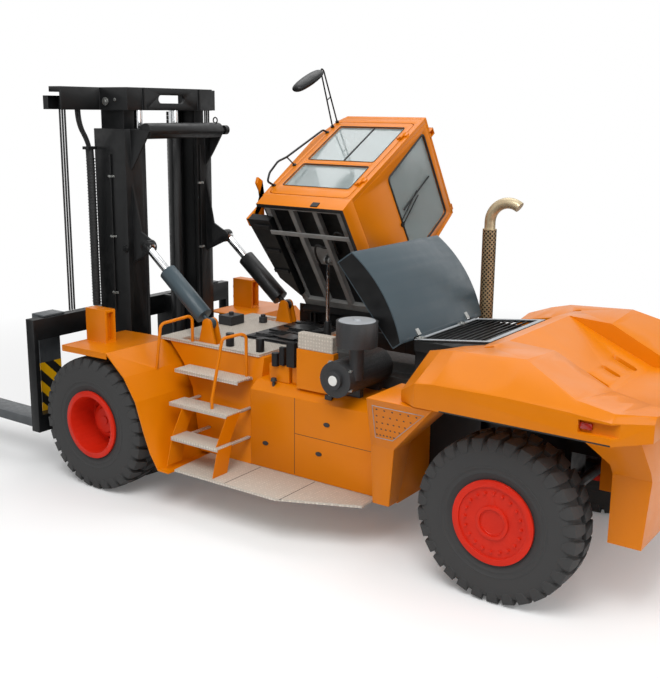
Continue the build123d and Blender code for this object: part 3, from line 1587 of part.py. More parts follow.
# Console with the steering wheel on its sloping column
with BuildPart() as cab_console:
    slab(console_x, (-console_half, console_half), (floor_top, console_top))
    column_foot = (console_x[0], 0, console_top - wheel_ring_radius)
    column_head = (console_x[0] - wheel_ring_radius, 0, console_top + wheel_ring_radius)
    rod_between(column_foot, column_head, 2 * wheel_tube_radius)
    with Locations(Plane(origin=column_head, z_dir=Vector(*column_head) - Vector(*column_foot))):
        Torus(wheel_ring_radius, wheel_tube_radius)
        Box(2 * wheel_ring_radius, 2 * wheel_tube_radius, wheel_tube_radius)
        Box(2 * wheel_tube_radius, 2 * wheel_ring_radius, wheel_tube_radius)
export_step(tilted(cab_console.part, "cab_console"), "parts/cab_console.step")


def from_wall(x, rise, out):
    """Point given by its distance up the cab's left wall and out from it."""
    return tuple(wall_plane.from_local_coords(Vector(x, -rise, out)))


# Grab rail on the cab's left wall
with BuildPart() as cab_rail:
    bent_tube(
        [from_wall(grab_x, grab_z[0], seat_gap), from_wall(grab_x, grab_z[0], grab_reach),
         from_wall(grab_x, grab_z[1], grab_reach), from_wall(grab_x, grab_z[1], seat_gap)],
        grab_radius, grab_bend,
    )
export_step(tilted(cab_rail.part, "cab_rail"), "parts/cab_rail.step")

# Mirror: a curved body that hangs beside the wall from an arm of two tubes with a rung between them
mirror_depth, mirror_width, mirror_height = mirror_size
mirror_head = from_wall(mirror_x + mirror_depth / 2, mirror_feet[1], mirror_reach)
mirror_end = Plane(origin=from_wall(mirror_x, mirror_feet[1], mirror_reach), x_dir=(1, 0, 0),
                   z_dir=wall_plane.y_dir)
with BuildPart() as cab_mirror:
    with BuildSketch(wall_plane.offset(seat_gap)):
        with Locations((mirror_x, -sum(mirror_feet) / 2)):
            Rectangle(4 * mirror_tube, mirror_feet[1] - mirror_feet[0] + 4 * mirror_tube)
    extrude(amount=mirror_tube)
    for foot_rise in mirror_feet:
        rod_between(from_wall(mirror_x, foot_rise, mirror_tube / 2), mirror_head, mirror_tube)
    rod_between(from_wall(mirror_x + mirror_depth / 4, sum(mirror_feet) / 2, mirror_reach / 2),
                from_wall(mirror_x + mirror_depth / 4, mirror_feet[1], mirror_reach / 2), mirror_tube)
    with BuildSketch(mirror_end):
        with BuildLine():
            Line((0, -mirror_width / 2), (0, mirror_width / 2))
            ThreePointArc((0, mirror_width / 2), (mirror_depth, 0), (0, -mirror_width / 2))
        make_face()
    extrude(amount=mirror_height)
export_step(tilted(cab_mirror.part, "cab_mirror"), "parts/cab_mirror.step")

# Ram that tilts the cab: a barrel pinned inside the frame and a rod between the underframe's ears
ram_run = hypot(lift_head[0] - lift_foot[0], lift_head[1] - lift_foot[1])
ram_y_share = (lift_head[0] - lift_foot[0]) / ram_run
ram_z_share = (lift_head[1] - lift_foot[1]) / ram_run


def on_ram_line(distance):
    """Point on the cab ram's centre line at a distance from its foot pin."""
    return (lift_x, lift_foot[0] + distance * ram_y_share, lift_foot[1] + distance * ram_z_share)


with BuildPart() as cab_ram_barrel:
    rod_between(on_ram_line(lift_body_start), on_ram_line(lift_body_end), lift_body_radius)
    rod_between(on_ram_line(0), on_ram_line(lift_body_start), lift_neck_radius)
    with BuildSketch(across(lift_x - lift_eye_half, 0)):
        with Locations(lift_foot):
            Circle(lift_eye_radius)
    extrude(amount=2 * lift_eye_half)
    with BuildSketch(across(lift_x - lift_eye_half, 0)):
        with Locations(lift_foot):
            Circle(lift_pin_radius + seat_gap)
    extrude(amount=2 * lift_eye_half, mode=Mode.SUBTRACT)
    with BuildSketch(Plane(origin=on_ram_line(lift_bore_start), z_dir=(0, ram_y_share, ram_z_share))):
        Circle(lift_stem_radius + seat_gap)
    extrude(amount=lift_body_end, mode=Mode.SUBTRACT)
cab_ram_barrel.part.label = "cab_ram_barrel"
export_step(cab_ram_barrel.part, "parts/cab_ram_barrel.step")

with BuildPart() as cab_ram_rod:
    rod_between(on_ram_line(lift_stem_start), on_ram_line(ram_run), lift_stem_radius)
    with BuildSketch(across(lift_x - lift_eye_half, 0)):
        with Locations(lift_head):
            Circle(lift_eye_radius)
    extrude(amount=2 * lift_eye_half)
cab_ram_rod.part.label = "cab_ram_rod"
export_step(cab_ram_rod.part, "parts/cab_ram_rod.step")

# Lamps: two lenses on each fender's lamp box and one in each tail pocket
pocket_wall = tail_sections[0][1] + lamp_pocket_depth
with BuildPart() as lamps:
    for side in SIDES.values():
        for lamp_z in (fender_top + 2 * lamp_recess, lamp_box_top - 2 * lamp_recess):
            lamp_y = side * sum(lamp_box_y) / 2
            rod_between((lamp_box_x[1] + seat_gap, lamp_y, lamp_z),
                        (lamp_box_x[1] + lamp_depth, lamp_y, lamp_z),
                        lamp_radius)
        slab((lamp_pocket_x[1] - 2 * lamp_radius, lamp_pocket_x[1] - seat_gap),
             (side * (pocket_wall + seat_gap), side * (pocket_wall + lamp_depth)),
             (lamp_pocket_z[0] + lamp_depth, lamp_pocket_z[1] - lamp_depth))
lamps.part.label = "lamps"
export_step(lamps.part, "parts/lamps.step")
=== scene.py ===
import json
import logging
from dataclasses import dataclass, field
from enum import Enum
from math import atan2, cos, hypot, pi, radians, sin
from typing import Iterable, Sequence

import bmesh
import bpy
from mathutils import Matrix, Vector

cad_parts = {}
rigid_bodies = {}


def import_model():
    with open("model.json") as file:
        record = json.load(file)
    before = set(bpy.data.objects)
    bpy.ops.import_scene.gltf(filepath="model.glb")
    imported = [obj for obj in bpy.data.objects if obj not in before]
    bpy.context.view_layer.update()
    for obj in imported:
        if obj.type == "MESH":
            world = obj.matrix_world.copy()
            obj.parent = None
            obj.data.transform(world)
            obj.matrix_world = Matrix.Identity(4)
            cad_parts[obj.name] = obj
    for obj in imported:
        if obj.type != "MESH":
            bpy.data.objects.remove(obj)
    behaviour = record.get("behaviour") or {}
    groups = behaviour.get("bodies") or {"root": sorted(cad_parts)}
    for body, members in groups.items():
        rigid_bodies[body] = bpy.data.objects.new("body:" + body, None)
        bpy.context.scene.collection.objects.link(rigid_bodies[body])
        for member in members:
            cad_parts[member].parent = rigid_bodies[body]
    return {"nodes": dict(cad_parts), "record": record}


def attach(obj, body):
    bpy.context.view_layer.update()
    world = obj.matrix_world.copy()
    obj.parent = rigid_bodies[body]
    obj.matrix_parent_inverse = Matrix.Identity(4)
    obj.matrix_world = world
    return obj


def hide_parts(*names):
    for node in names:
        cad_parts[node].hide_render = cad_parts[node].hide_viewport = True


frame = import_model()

log = logging.getLogger("forklift")
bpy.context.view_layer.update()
AXLE_Z = 0.747
REAR_AXLE_X = -4.73
# Angles in degrees: above the first, edges of plain pieces are sharp, and above the second a bevel rounds them
SHARP = 35.0
BEVEL = 28.0
# Distance up to which vertices of the CAD meshes are merged
MERGE = 1e-5
# Sign of Y and word in the names, for each side of the truck
SIDES = ((1.0, "left"), (-1.0, "right"))
Point = Sequence[float]
Tree = bpy.types.NodeTree
Node = bpy.types.Node
Socket = bpy.types.NodeSocket
Mesh = bpy.types.Mesh
Object = bpy.types.Object


def linear(code: str, alpha: float = 1.0) -> tuple[float, float, float, float]:
    """Turn an sRGB hex value into linear RGBA.

    Args:
        code: Six hex digits, with or without a leading #.
        alpha: The fourth value.

    Returns:
        Linear red, green, blue and alpha.
    """
    parts = [int(code.lstrip("#")[i:i + 2], 16) / 255 for i in (0, 2, 4)]
    return (*[c / 12.92 if c <= 0.04045 else ((c + 0.055) / 1.055) ** 2.4 for c in parts], alpha)


def add_node(tree: Tree, kind: str, settings: dict | None = None, links: dict | None = None,
             values: dict | None = None) -> Node:
    """Add a node to a tree.

    Args:
        tree: Material or geometry tree.
        kind: The node's type name.
        settings: Attributes of the node.
        links: Input name or index to the output socket that feeds it.
        values: Input name or index to a constant.

    Returns:
        The new node.
    """
    node = tree.nodes.new(kind)
    for key, value in (settings or {}).items():
        setattr(node, key, value)
    for key, value in (values or {}).items():
        node.inputs[key].default_value = value
    for key, source in (links or {}).items():
        tree.links.new(source, node.inputs[key])
    return node


def ramp(tree: Tree, value: Socket, low: tuple[float, str], high: tuple[float, str], kind: str = "LINEAR") -> Socket:
    """Add a ramp between two colours.

    Args:
        tree: The material's tree.
        value: What drives the ramp.
        low: Place and sRGB hex value of its first colour.
        high: Place and sRGB hex value of its second colour.
        kind: How it goes from one to the other.

    Returns:
        The colour output.
    """
    node = add_node(tree, "ShaderNodeValToRGB", links={"Fac": value})
    node.color_ramp.interpolation = kind
    for stop, (place, code) in zip(node.color_ramp.elements, (low, high)):
        stop.position, stop.color = place, linear(code)
    return node.outputs["Color"]


def cleared(owner: bpy.types.ID) -> Tree:
    """Give a new material or world an empty node tree.

    Args:
        owner: The material or world.

    Returns:
        Its tree.
    """
    owner.use_nodes = True
    owner.node_tree.nodes.clear()
    return owner.node_tree


def linked(name: str, data: bpy.types.ID) -> Object:
    """Make an object of some data and link it to the scene.

    Args:
        name: The object's name.
        data: Its mesh, curve, camera or lamp.

    Returns:
        The object.
    """
    obj = bpy.data.objects.new(name, data)
    bpy.context.scene.collection.objects.link(obj)
    return obj


class Slot(Enum):
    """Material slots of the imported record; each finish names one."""

    ORANGE = "body_orange"
    RED = "rim_red"
    BLACK = "mast_black"
    GREY = "service_grey"
    TYRE = "tyre_rubber"
    CHROME = "chrome_rod"
    PLATE = "galvanised"
    GLASS = "glass"
    CLOTH = "seat_cloth"
    PLASTIC = "console_plastic"
    EXHAUST = "exhaust_steel"
    ENGINE = "engine_iron"
    FORK = "fork_black"
    LAMP = "lamp_glass"


@dataclass(frozen=True)
class Finish:
    """A procedural finish: a base colour mottled by noise, and a fine bump."""

    name: str
    colour: str
    worn: str
    slot: Slot
    roughness: float = 0.4
    metallic: float = 0.0
    coat: float = 0.0
    coat_roughness: float = 0.1
    coat_ior: float = 1.35
    mottle_mm: float = 400.0
    mottle_share: float = 0.5
    grain_mm: float = 3.0
    grain_strength: float = 0.05
    grain_depth: float = 0.002
    # How far the roughness strays below and above its value
    smoother: float = 0.08
    rougher: float = 0.1
    ior: float = 1.5
    specular: float = 0.5

    def material(self) -> bpy.types.Material:
        """Build the material once and return it.

        Returns:
            The material of this finish.
        """
        if self.name in bpy.data.materials:
            return bpy.data.materials[self.name]
        made = bpy.data.materials.new(self.name)
        tree = cleared(made)
        place = add_node(tree, "ShaderNodeTexCoord").outputs["Object"]
        colour = self.colour_socket(tree, place)
        normal = self.normal_socket(tree, place)
        values = {"Metallic": self.metallic, "Coat Weight": self.coat, "Coat Roughness": self.coat_roughness,
                  "Coat IOR": self.coat_ior, "Specular IOR Level": self.specular}
        if not self.metallic:
            values["IOR"] = self.ior
        shader = add_node(tree, "ShaderNodeBsdfPrincipled", values=values,
                          links={"Base Color": colour, "Normal": normal})
        self.roughness_link(tree, shader, place)
        add_node(tree, "ShaderNodeOutputMaterial", links={"Surface": shader.outputs["BSDF"]})
        made.diffuse_color = linear(self.colour)
        return made

    def colour_socket(self, tree: Tree, place: Socket) -> Socket:
        """Colour varied in soft patches.

        Args:
            tree: The material's tree.
            place: Object coordinates.

        Returns:
            The colour output.
        """
        noise = add_node(tree, "ShaderNodeTexNoise", values={"Scale": 1000 / self.mottle_mm, "Detail": 6.0,
                                                            "Roughness": 0.6}, links={"Vector": place})
        half = self.mottle_share / 2
        return ramp(tree, noise.outputs["Fac"], (0.5 - half, self.worn), (0.5 + half, self.colour))

    def normal_socket(self, tree: Tree, place: Socket) -> Socket:
        """Bump of the surface's grain.

        Args:
            tree: The material's tree.
            place: Object coordinates.

        Returns:
            The normal output.
        """
        grain = add_node(tree, "ShaderNodeTexNoise", values={"Scale": 1000 / self.grain_mm, "Detail": 2.0},
                         links={"Vector": place})
        bump = add_node(tree, "ShaderNodeBump", values={"Strength": self.grain_strength, "Distance": self.grain_depth},
                        links={"Height": grain.outputs["Fac"]})
        return bump.outputs["Normal"]

    def roughness_link(self, tree: Tree, shader: Node, place: Socket) -> None:
        """Vary the roughness a little about its value.

        Args:
            tree: The material's tree.
            shader: The principled shader.
            place: Object coordinates.
        """
        noise = add_node(tree, "ShaderNodeTexNoise", values={"Scale": 1000 / (self.mottle_mm / 4), "Detail": 3.0},
                         links={"Vector": place})
        span = add_node(tree, "ShaderNodeMapRange", links={"Value": noise.outputs["Fac"]},
                        values={"From Min": 0.3, "From Max": 0.7, "To Min": max(0.02, self.roughness - self.smoother),
                                "To Max": min(1.0, self.roughness + self.rougher)})
        tree.links.new(span.outputs["Result"], shader.inputs["Roughness"])


@dataclass(frozen=True)
class CheckerFinish(Finish):
    """Rolled checker plate: raised studs at a fixed pitch."""

    pitch_mm: float = 34.0
    # Strength and depth of the studs' bump, and distances from a stud's middle, as shares of the pitch,
    # over which it falls off and over which its colour changes
    stud_strength: float = 0.9
    stud_depth: float = 0.006
    stud_edge: tuple = (0.18, 0.42)
    stud_tone: tuple = (0.25, 0.5)

    def studs(self, tree: Tree, place: Socket) -> Socket:
        """Distance from the nearest stud's middle, for the bump and for the colour."""
        cells = add_node(tree, "ShaderNodeTexVoronoi", settings={"feature": "F1"},
                         values={"Scale": 1000 / self.pitch_mm, "Randomness": 0.15}, links={"Vector": place})
        return cells.outputs["Distance"]

    def normal_socket(self, tree: Tree, place: Socket) -> Socket:
        """Bump of the raised studs.

        Args:
            tree: The material's tree.
            place: Object coordinates.

        Returns:
            The normal output.
        """
        rise = add_node(tree, "ShaderNodeMapRange", links={"Value": self.studs(tree, place)},
                        values={"From Min": self.stud_edge[0], "From Max": self.stud_edge[1], "To Min": 1.0,
                                "To Max": 0.0})
        bump = add_node(tree, "ShaderNodeBump", values={"Strength": self.stud_strength, "Distance": self.stud_depth},
                        links={"Height": rise.outputs["Result"]})
        return bump.outputs["Normal"]

    def colour_socket(self, tree: Tree, place: Socket) -> Socket:
        """Bright tops of the studs over a darker ground."""
        top, ground = self.stud_tone
        return ramp(tree, self.studs(tree, place), (top, self.colour), (ground, self.worn))


@dataclass(frozen=True)
class PerforatedFinish(Finish):
    """Sheet with rows of round holes seen as dark spots, wrapped round an upright tube."""

    hole_pitch_mm: float = 32.0
    tube_axis: tuple = (-3.42, -0.95, 0.0)
    tube_radius: float = 0.074
    hole_colour: str = "1c1814"
    # Distances from a hole's middle, as shares of the pitch, between which dark turns to metal
    hole_edge: tuple = (0.30, 0.40)

    def colour_socket(self, tree: Tree, place: Socket) -> Socket:
        """Bright metal with dark round holes.

        Args:
            tree: The material's tree.
            place: Object coordinates.

        Returns:
            The colour output.
        """
        local = add_node(tree, "ShaderNodeVectorMath", {"operation": "SUBTRACT"}, {0: place}, {1: self.tube_axis})
        parts = add_node(tree, "ShaderNodeSeparateXYZ", links={0: local.outputs[0]})
        angle = add_node(tree, "ShaderNodeMath", {"operation": "ARCTAN2"}, {0: parts.outputs[1], 1: parts.outputs[0]})
        arc = add_node(tree, "ShaderNodeMath", {"operation": "MULTIPLY"}, {0: angle.outputs[0]}, {1: self.tube_radius})
        flat = add_node(tree, "ShaderNodeCombineXYZ", links={0: arc.outputs[0], 1: parts.outputs[2]})
        turned = add_node(tree, "ShaderNodeMapping", values={"Rotation": (0.0, 0.0, radians(45))},
                          links={"Vector": flat.outputs[0]})
        holes = add_node(tree, "ShaderNodeTexVoronoi", settings={"feature": "F1", "voronoi_dimensions": "2D"},
                         values={"Scale": 1000 / self.hole_pitch_mm, "Randomness": 0.0},
                         links={"Vector": turned.outputs[0]})
        inside, outside = self.hole_edge
        return ramp(tree, holes.outputs["Distance"], (inside, self.hole_colour), (outside, self.colour))


@dataclass(frozen=True)
class HazardFinish(Finish):
    """Yellow and black slanted bands painted across a flat face."""

    band_mm: float = 130.0
    lean: tuple = (radians(-45), radians(45), 0.0)
    # A wave of scale 1 repeats about 3.2 times in a metre
    waves_in_metre: float = 3.2

    def colour_socket(self, tree: Tree, place: Socket) -> Socket:
        """Slanted bands from one wave.

        Args:
            tree: The material's tree.
            place: Object coordinates.

        Returns:
            The colour output.
        """
        turned = add_node(tree, "ShaderNodeMapping", values={"Rotation": self.lean}, links={"Vector": place})
        wave = add_node(tree, "ShaderNodeTexWave", settings={"bands_direction": "X"},
                        values={"Scale": 1000 / self.band_mm / self.waves_in_metre, "Distortion": 0.0},
                        links={"Vector": turned.outputs["Vector"]})
        return ramp(tree, wave.outputs["Fac"], (0.0, self.worn), (0.5, self.colour), "CONSTANT")


@dataclass(frozen=True)
class ClearFinish(Finish):
    """Flat safety glass: clear with a grey tint and a hard gloss."""

    transmission: float = 0.9

    def material(self) -> bpy.types.Material:
        """Build the glass and return it, as in Finish."""
        made = super().material()
        shader = next(n for n in made.node_tree.nodes if n.type == "BSDF_PRINCIPLED")
        shader.inputs["Transmission Weight"].default_value = self.transmission
        return made


class Finishes:
    """Every finish of the truck."""

    # Two-pack enamel sprayed on steel: a smooth clear gloss that pales where it mirrors the sky.
    ORANGE = Finish("orange_enamel", "DC7C00", "D27400", Slot.ORANGE, roughness=0.42, coat=0.6, coat_roughness=0.3,
                    mottle_mm=900, grain_mm=4, grain_strength=0.03, specular=0.05)
    # Pressed steel rims in red enamel: brighter and softer than the body.
    RED = Finish("red_enamel", "D42A14", "C4220E", Slot.RED, roughness=0.45, coat=0.3, coat_roughness=0.25,
                 mottle_mm=300, grain_mm=4, grain_strength=0.03, specular=0.1)
    # Thick satin black on rolled mast channels: soft sheen and dust.
    BLACK = Finish("black_satin_paint", "131415", "0C0D0E", Slot.BLACK, roughness=0.42, coat=0.1,
                   mottle_mm=350, grain_mm=5, grain_strength=0.06, specular=0.3)
    # Blue-grey gloss paint on the hood and cylinders: clean and cool.
    GREY = Finish("blue_grey_enamel", "3F4D54", "39464D", Slot.GREY, roughness=0.4, coat=0.4, coat_roughness=0.3,
                  mottle_mm=600, grain_mm=4, grain_strength=0.01, specular=0.2)
    # Vulcanised rubber: near-black, matt, dusty in patches.
    TYRE = Finish("tyre_rubber", "0A0909", "060505", Slot.TYRE, roughness=0.8, mottle_mm=120, grain_mm=6,
                  grain_strength=0.25, specular=0.1)
    # Hard chrome on a ground rod: a near mirror.
    CHROME = Finish("hard_chrome", "DADBDC", "CFD1D3", Slot.CHROME, roughness=0.12, metallic=1.0, mottle_mm=80,
                    grain_strength=0.01)
    # Rolled steel plate with studs, painted light grey and scuffed bright; its warm tint is painted reflection of the
    # orange body around it.
    PLATE = CheckerFinish("checker_plate", "D2C9BC", "B5ACA0", Slot.PLATE, roughness=0.5)
    # Laminated safety glass.
    GLASS = ClearFinish("cab_glass", "C8D2D2", "BCC8C8", Slot.GLASS, roughness=0.04, transmission=0.55,
                        mottle_mm=900, grain_strength=0.0, ior=1.45)
    # Woven seat cloth: black with a fine nap.
    CLOTH = Finish("seat_cloth", "26272A", "1C1D1F", Slot.CLOTH, roughness=0.9, mottle_mm=40, grain_mm=4,
                   grain_strength=0.5)
    # Moulded ABS with a leather grain.
    PLASTIC = Finish("black_moulded_plastic", "2A2B2D", "232425", Slot.PLASTIC, roughness=0.55, mottle_mm=60,
                     grain_mm=3, grain_strength=0.3)
    # Perforated stainless shield, tarnished to straw.
    EXHAUST = PerforatedFinish("perforated_steel", "9C8564", "8C7657", Slot.EXHAUST, roughness=0.4, metallic=0.5)
    # Bent stainless tube, blued to straw by heat.
    TAILPIPE = Finish("heated_steel", "C9BA98", "A59274", Slot.EXHAUST, roughness=0.35, metallic=0.5, mottle_mm=160)
    # Grey-painted cast iron, rough from the sand mould.
    ENGINE = Finish("cast_iron_paint", "4A4B4A", "2E2E2D", Slot.ENGINE, roughness=0.6, mottle_mm=90, grain_mm=7,
                    grain_strength=0.4)
    # Forged fork steel with worn black paint.
    FORK = Finish("worn_fork_paint", "55595C", "3A3D40", Slot.FORK, roughness=0.45, mottle_mm=250, grain_mm=6,
                  grain_strength=0.1)
    # Warning bands painted across the fork shanks.
    HAZARD = HazardFinish("hazard_bands", "F0B400", "1A1A1A", Slot.FORK, roughness=0.45)
    # Pressed glass lens.
    LAMP = ClearFinish("lamp_lens", "E6EAEA", "D6DCDC", Slot.LAMP, roughness=0.1, transmission=0.4, mottle_mm=20,
                       grain_mm=6, grain_strength=0.4)
    # Red acrylic lens.
    TAIL_LAMP = Finish("red_lens", "B0281C", "8E1C14", Slot.LAMP, roughness=0.15, coat=0.6, mottle_mm=20)
    # Braided hose in black rubber.
    HOSE = Finish("hose_rubber", "1B1C1D", "131414", Slot.BLACK, roughness=0.55, mottle_mm=30, grain_mm=4,
                  grain_strength=0.4)
    # Injection-moulded white cap: clean and slightly glossy.
    WHITE = Finish("white_moulded_plastic", "E6E6E2", "DADAD6", Slot.PLATE, roughness=0.4, mottle_mm=30)
    # Painted grey lid of pressed sheet: pale and matt.
    LID = Finish("pale_grey_paint", "A9ADB0", "989CA0", Slot.PLATE, roughness=0.5, mottle_mm=120)
    # Primed steel bars: a dull mid grey.
    STEEL = Finish("grey_primer", "8E8E8C", "747472", Slot.BLACK, roughness=0.55, mottle_mm=120)
    # Zinc-plated steel fittings.
    ZINC = Finish("zinc_plate", "BEBFBC", "9EA09D", Slot.PLATE, roughness=0.35, metallic=0.9, mottle_mm=40)


def body_of_node(node: str) -> str:
    """Name of the body that a CAD node rides on."""
    return next(b for b, nodes in frame["record"]["behaviour"]["bodies"].items() if node in nodes)


def settle(obj: Object, body: str, finish: Finish, replaces: Iterable[str] = ()) -> Object:
    """Give a finished piece its body and material.

    Args:
        obj: The piece, at the origin with its place in its mesh.
        body: Body it rides on.
        finish: Its finish.
        replaces: CAD nodes it stands for.

    Returns:
        The piece.
    """
    if not obj.data.materials:
        obj.data.materials.append(finish.material())
    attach(obj, body)
    if replaces:
        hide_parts(*replaces)
    log.info("%s: %d faces on %s", obj.name, len(obj.data.polygons), body)
    return obj


class Shape:
    """A piece under construction: solids gathered in one mesh."""

    def __init__(self) -> None:
        """Start an empty mesh."""
        self.bm = bmesh.new()

    def box(self, low: Point, high: Point) -> "Shape":
        """Add a block between two corners.

        Args:
            low: One corner.
            high: The opposite corner.

        Returns:
            This shape.
        """
        made = bmesh.ops.create_cube(self.bm, size=1.0)["verts"]
        centre = [(a + b) / 2 for a, b in zip(low, high)]
        size = [abs(b - a) for a, b in zip(low, high)]
        for v in made:
            v.co = Vector([c + v.co[i] * s for i, (c, s) in enumerate(zip(centre, size))])
        return self

    def rod(self, start: Point, end: Point, radius: float, end_radius: float | None = None,
            sides: int = 24) -> "Shape":
        """Add a closed round bar or cone.

        Args:
            start: Centre of the first end.
            end: Centre of the other end.
            radius: Radius at the start.
            end_radius: Radius at the end, the same if not given.
            sides: Facets round it.

        Returns:
            This shape.
        """
        run = Vector(end) - Vector(start)
        turn = run.to_track_quat("Z", "Y").to_matrix().to_4x4()
        place = Matrix.Translation((Vector(start) + Vector(end)) / 2) @ turn
        bmesh.ops.create_cone(self.bm, cap_ends=True, segments=sides, radius1=radius,
                              radius2=radius if end_radius is None else end_radius, depth=run.length, matrix=place)
        return self

    def prism(self, outline: Sequence[Point], low: float, high: float, axis: int = 1) -> "Shape":
        """Add a flat outline pushed along one axis.

        Args:
            outline: Pairs of values on the two other axes, in order.
            low: Start along the axis.
            high: End along the axis.
            axis: 0, 1 or 2 for X, Y or Z.

        Returns:
            This shape.
        """
        rings = []
        for value in (low, high):
            ring = []
            for a, b in outline:
                co = [a, b]
                co.insert(axis, value)
                ring.append(self.bm.verts.new(co))
            rings.append(ring)
        faces = [self.bm.faces.new(rings[0][::-1]), self.bm.faces.new(rings[1]), *self.band(*rings)]
        bmesh.ops.recalc_face_normals(self.bm, faces=faces)
        return self

    def turned(self, profile: Sequence[tuple[float, float]], centre: Point, sides: int = 96) -> "Shape":
        """Add a closed profile turned about a line along Y.

        Args:
            profile: Pairs of offset along Y and radius.
            centre: A point of the line.
            sides: Facets round it.

        Returns:
            This shape.
        """
        rings = []
        for step in range(sides):
            angle = 2 * pi * step / sides
            rings.append([self.bm.verts.new((centre[0] + r * sin(angle), centre[1] + y, centre[2] + r * cos(angle)))
                          for y, r in profile])
        faces = [face for step in range(sides) for face in self.band(rings[step], rings[(step + 1) % sides])]
        bmesh.ops.recalc_face_normals(self.bm, faces=faces)
        return self

    def band(self, here: Sequence, there: Sequence) -> list:
        """Add the faces between two closed rings of vertices, and return them."""
        count = len(here)
        return [self.bm.faces.new((here[i], here[(i + 1) % count], there[(i + 1) % count], there[i]))
                for i in range(count)]

    def pipe(self, points: Sequence[Point], radius: float, smooth: bool = False, closed: bool = False) -> "Shape":
        """Add a round tube along points, with the arguments of tube."""
        self.bm.from_mesh(tube(points, radius, smooth, closed))
        return self

    def moved(self, matrix: Matrix) -> "Shape":
        """Move everything made so far by a matrix."""
        bmesh.ops.transform(self.bm, matrix=matrix, verts=self.bm.verts)
        return self

    def mesh(self, name: str) -> Mesh:
        """Turn the shape into a mesh.

        Args:
            name: The mesh's name.

        Returns:
            The mesh.
        """
        made = bpy.data.meshes.new(name)
        self.bm.to_mesh(made)
        self.bm.free()
        return made

    def piece(self, name: str, body: str, finish: Finish, bevel: float = 0.0, replaces: Iterable[str] = (),
              smooth: float = SHARP) -> Object:
        """Finish the shape as a piece.

        Args:
            name: The piece's name.
            body: Body it rides on.
            finish: Its finish.
            bevel: Width of the rounded edges in metres.
            replaces: CAD nodes it stands for.
            smooth: Angle up to which faces shade as one.

        Returns:
            The piece.
        """
        return settle(rounded(name, self.mesh(name), bevel, smooth), body, finish, replaces)


def rounded(name: str, mesh: Mesh, bevel: float, smooth: float = SHARP) -> Object:
    """Make an object of a mesh, with small rounded edges and soft shading.

    Args:
        name: The object's name.
        mesh: Its mesh.
        bevel: Width of the rounding in metres, or zero.
        smooth: Angle in degrees up to which faces shade as one.

    Returns:
        The object.
    """
    obj = linked(name, mesh)
    for polygon in mesh.polygons:
        polygon.use_smooth = True
    if not bevel:
        mesh.set_sharp_from_angle(angle=radians(smooth))
        return obj
    edge = obj.modifiers.new("edge", "BEVEL")
    edge.width = bevel
    edge.segments = 2
    edge.limit_method = "ANGLE"
    edge.angle_limit = radians(min(BEVEL, smooth))
    edge.harden_normals = True
    return baked(obj)


def plain(obj: Object) -> Mesh:
    """Mesh of an object with its modifiers applied."""
    bpy.context.view_layer.update()
    return bpy.data.meshes.new_from_object(obj.evaluated_get(bpy.context.evaluated_depsgraph_get()))


def baked(obj: Object) -> Object:
    """Turn an object's modifiers into its mesh.

    Args:
        obj: The object.

    Returns:
        The same object.
    """
    obj.data = plain(obj)
    obj.modifiers.clear()
    return obj


def tube(points: Sequence[Point], radius: float, smooth: bool = False, closed: bool = False) -> Mesh:
    """Round tube along points.

    Args:
        points: The route.
        radius: The tube's radius.
        smooth: A NURBS line if true, straight runs if not.
        closed: Whether the route is a loop.

    Returns:
        The tube's mesh.
    """
    curve = bpy.data.curves.new("route", "CURVE")
    curve.dimensions = "3D"
    curve.bevel_depth = radius
    curve.bevel_resolution = 4
    curve.use_fill_caps = True
    spline = curve.splines.new("NURBS" if smooth else "POLY")
    spline.points.add(len(points) - 1)
    for target, point in zip(spline.points, points):
        target.co = (*point, 1.0)
    spline.use_cyclic_u = closed
    if smooth:
        spline.order_u = 3
        spline.use_endpoint_u = True
        spline.resolution_u = 8
    carrier = linked("route", curve)
    mesh = plain(carrier)
    bpy.data.objects.remove(carrier)
    return mesh


def bent(points: Sequence[Point], bend: float, steps: int = 5) -> list[Vector]:
    """Points of a route whose corners are rounded.

    Args:
        points: Corners of the route.
        bend: Distance from each corner at which its arc starts.
        steps: Points of each arc.

    Returns:
        The rounded route.
    """
    route = [Vector(points[0])]
    for before, corner, after in zip(points, points[1:], points[2:]):
        corner = Vector(corner)
        back = (Vector(before) - corner).normalized() * bend
        ahead = (Vector(after) - corner).normalized() * bend
        for step in range(steps + 1):
            t = step / steps
            route.append(corner + back * (1 - t) ** 2 + ahead * t ** 2)
    route.append(Vector(points[-1]))
    return route


@dataclass(frozen=True)
class Fitting:
    """A piece of plain blocks and rods."""

    name: str
    finish: Finish
    bevel: float = 0.0
    # Low and high corner of each block
    boxes: tuple = ()
    # Start, end, radius, and where given the end's radius and the sides, of each rod
    rods: tuple = ()

    def shape(self) -> Shape:
        """Gather the blocks and rods.

        Returns:
            The shape.
        """
        shape = Shape()
        for low, high in self.boxes:
            shape.box(low, high)
        for rod in self.rods:
            shape.rod(*rod)
        return shape


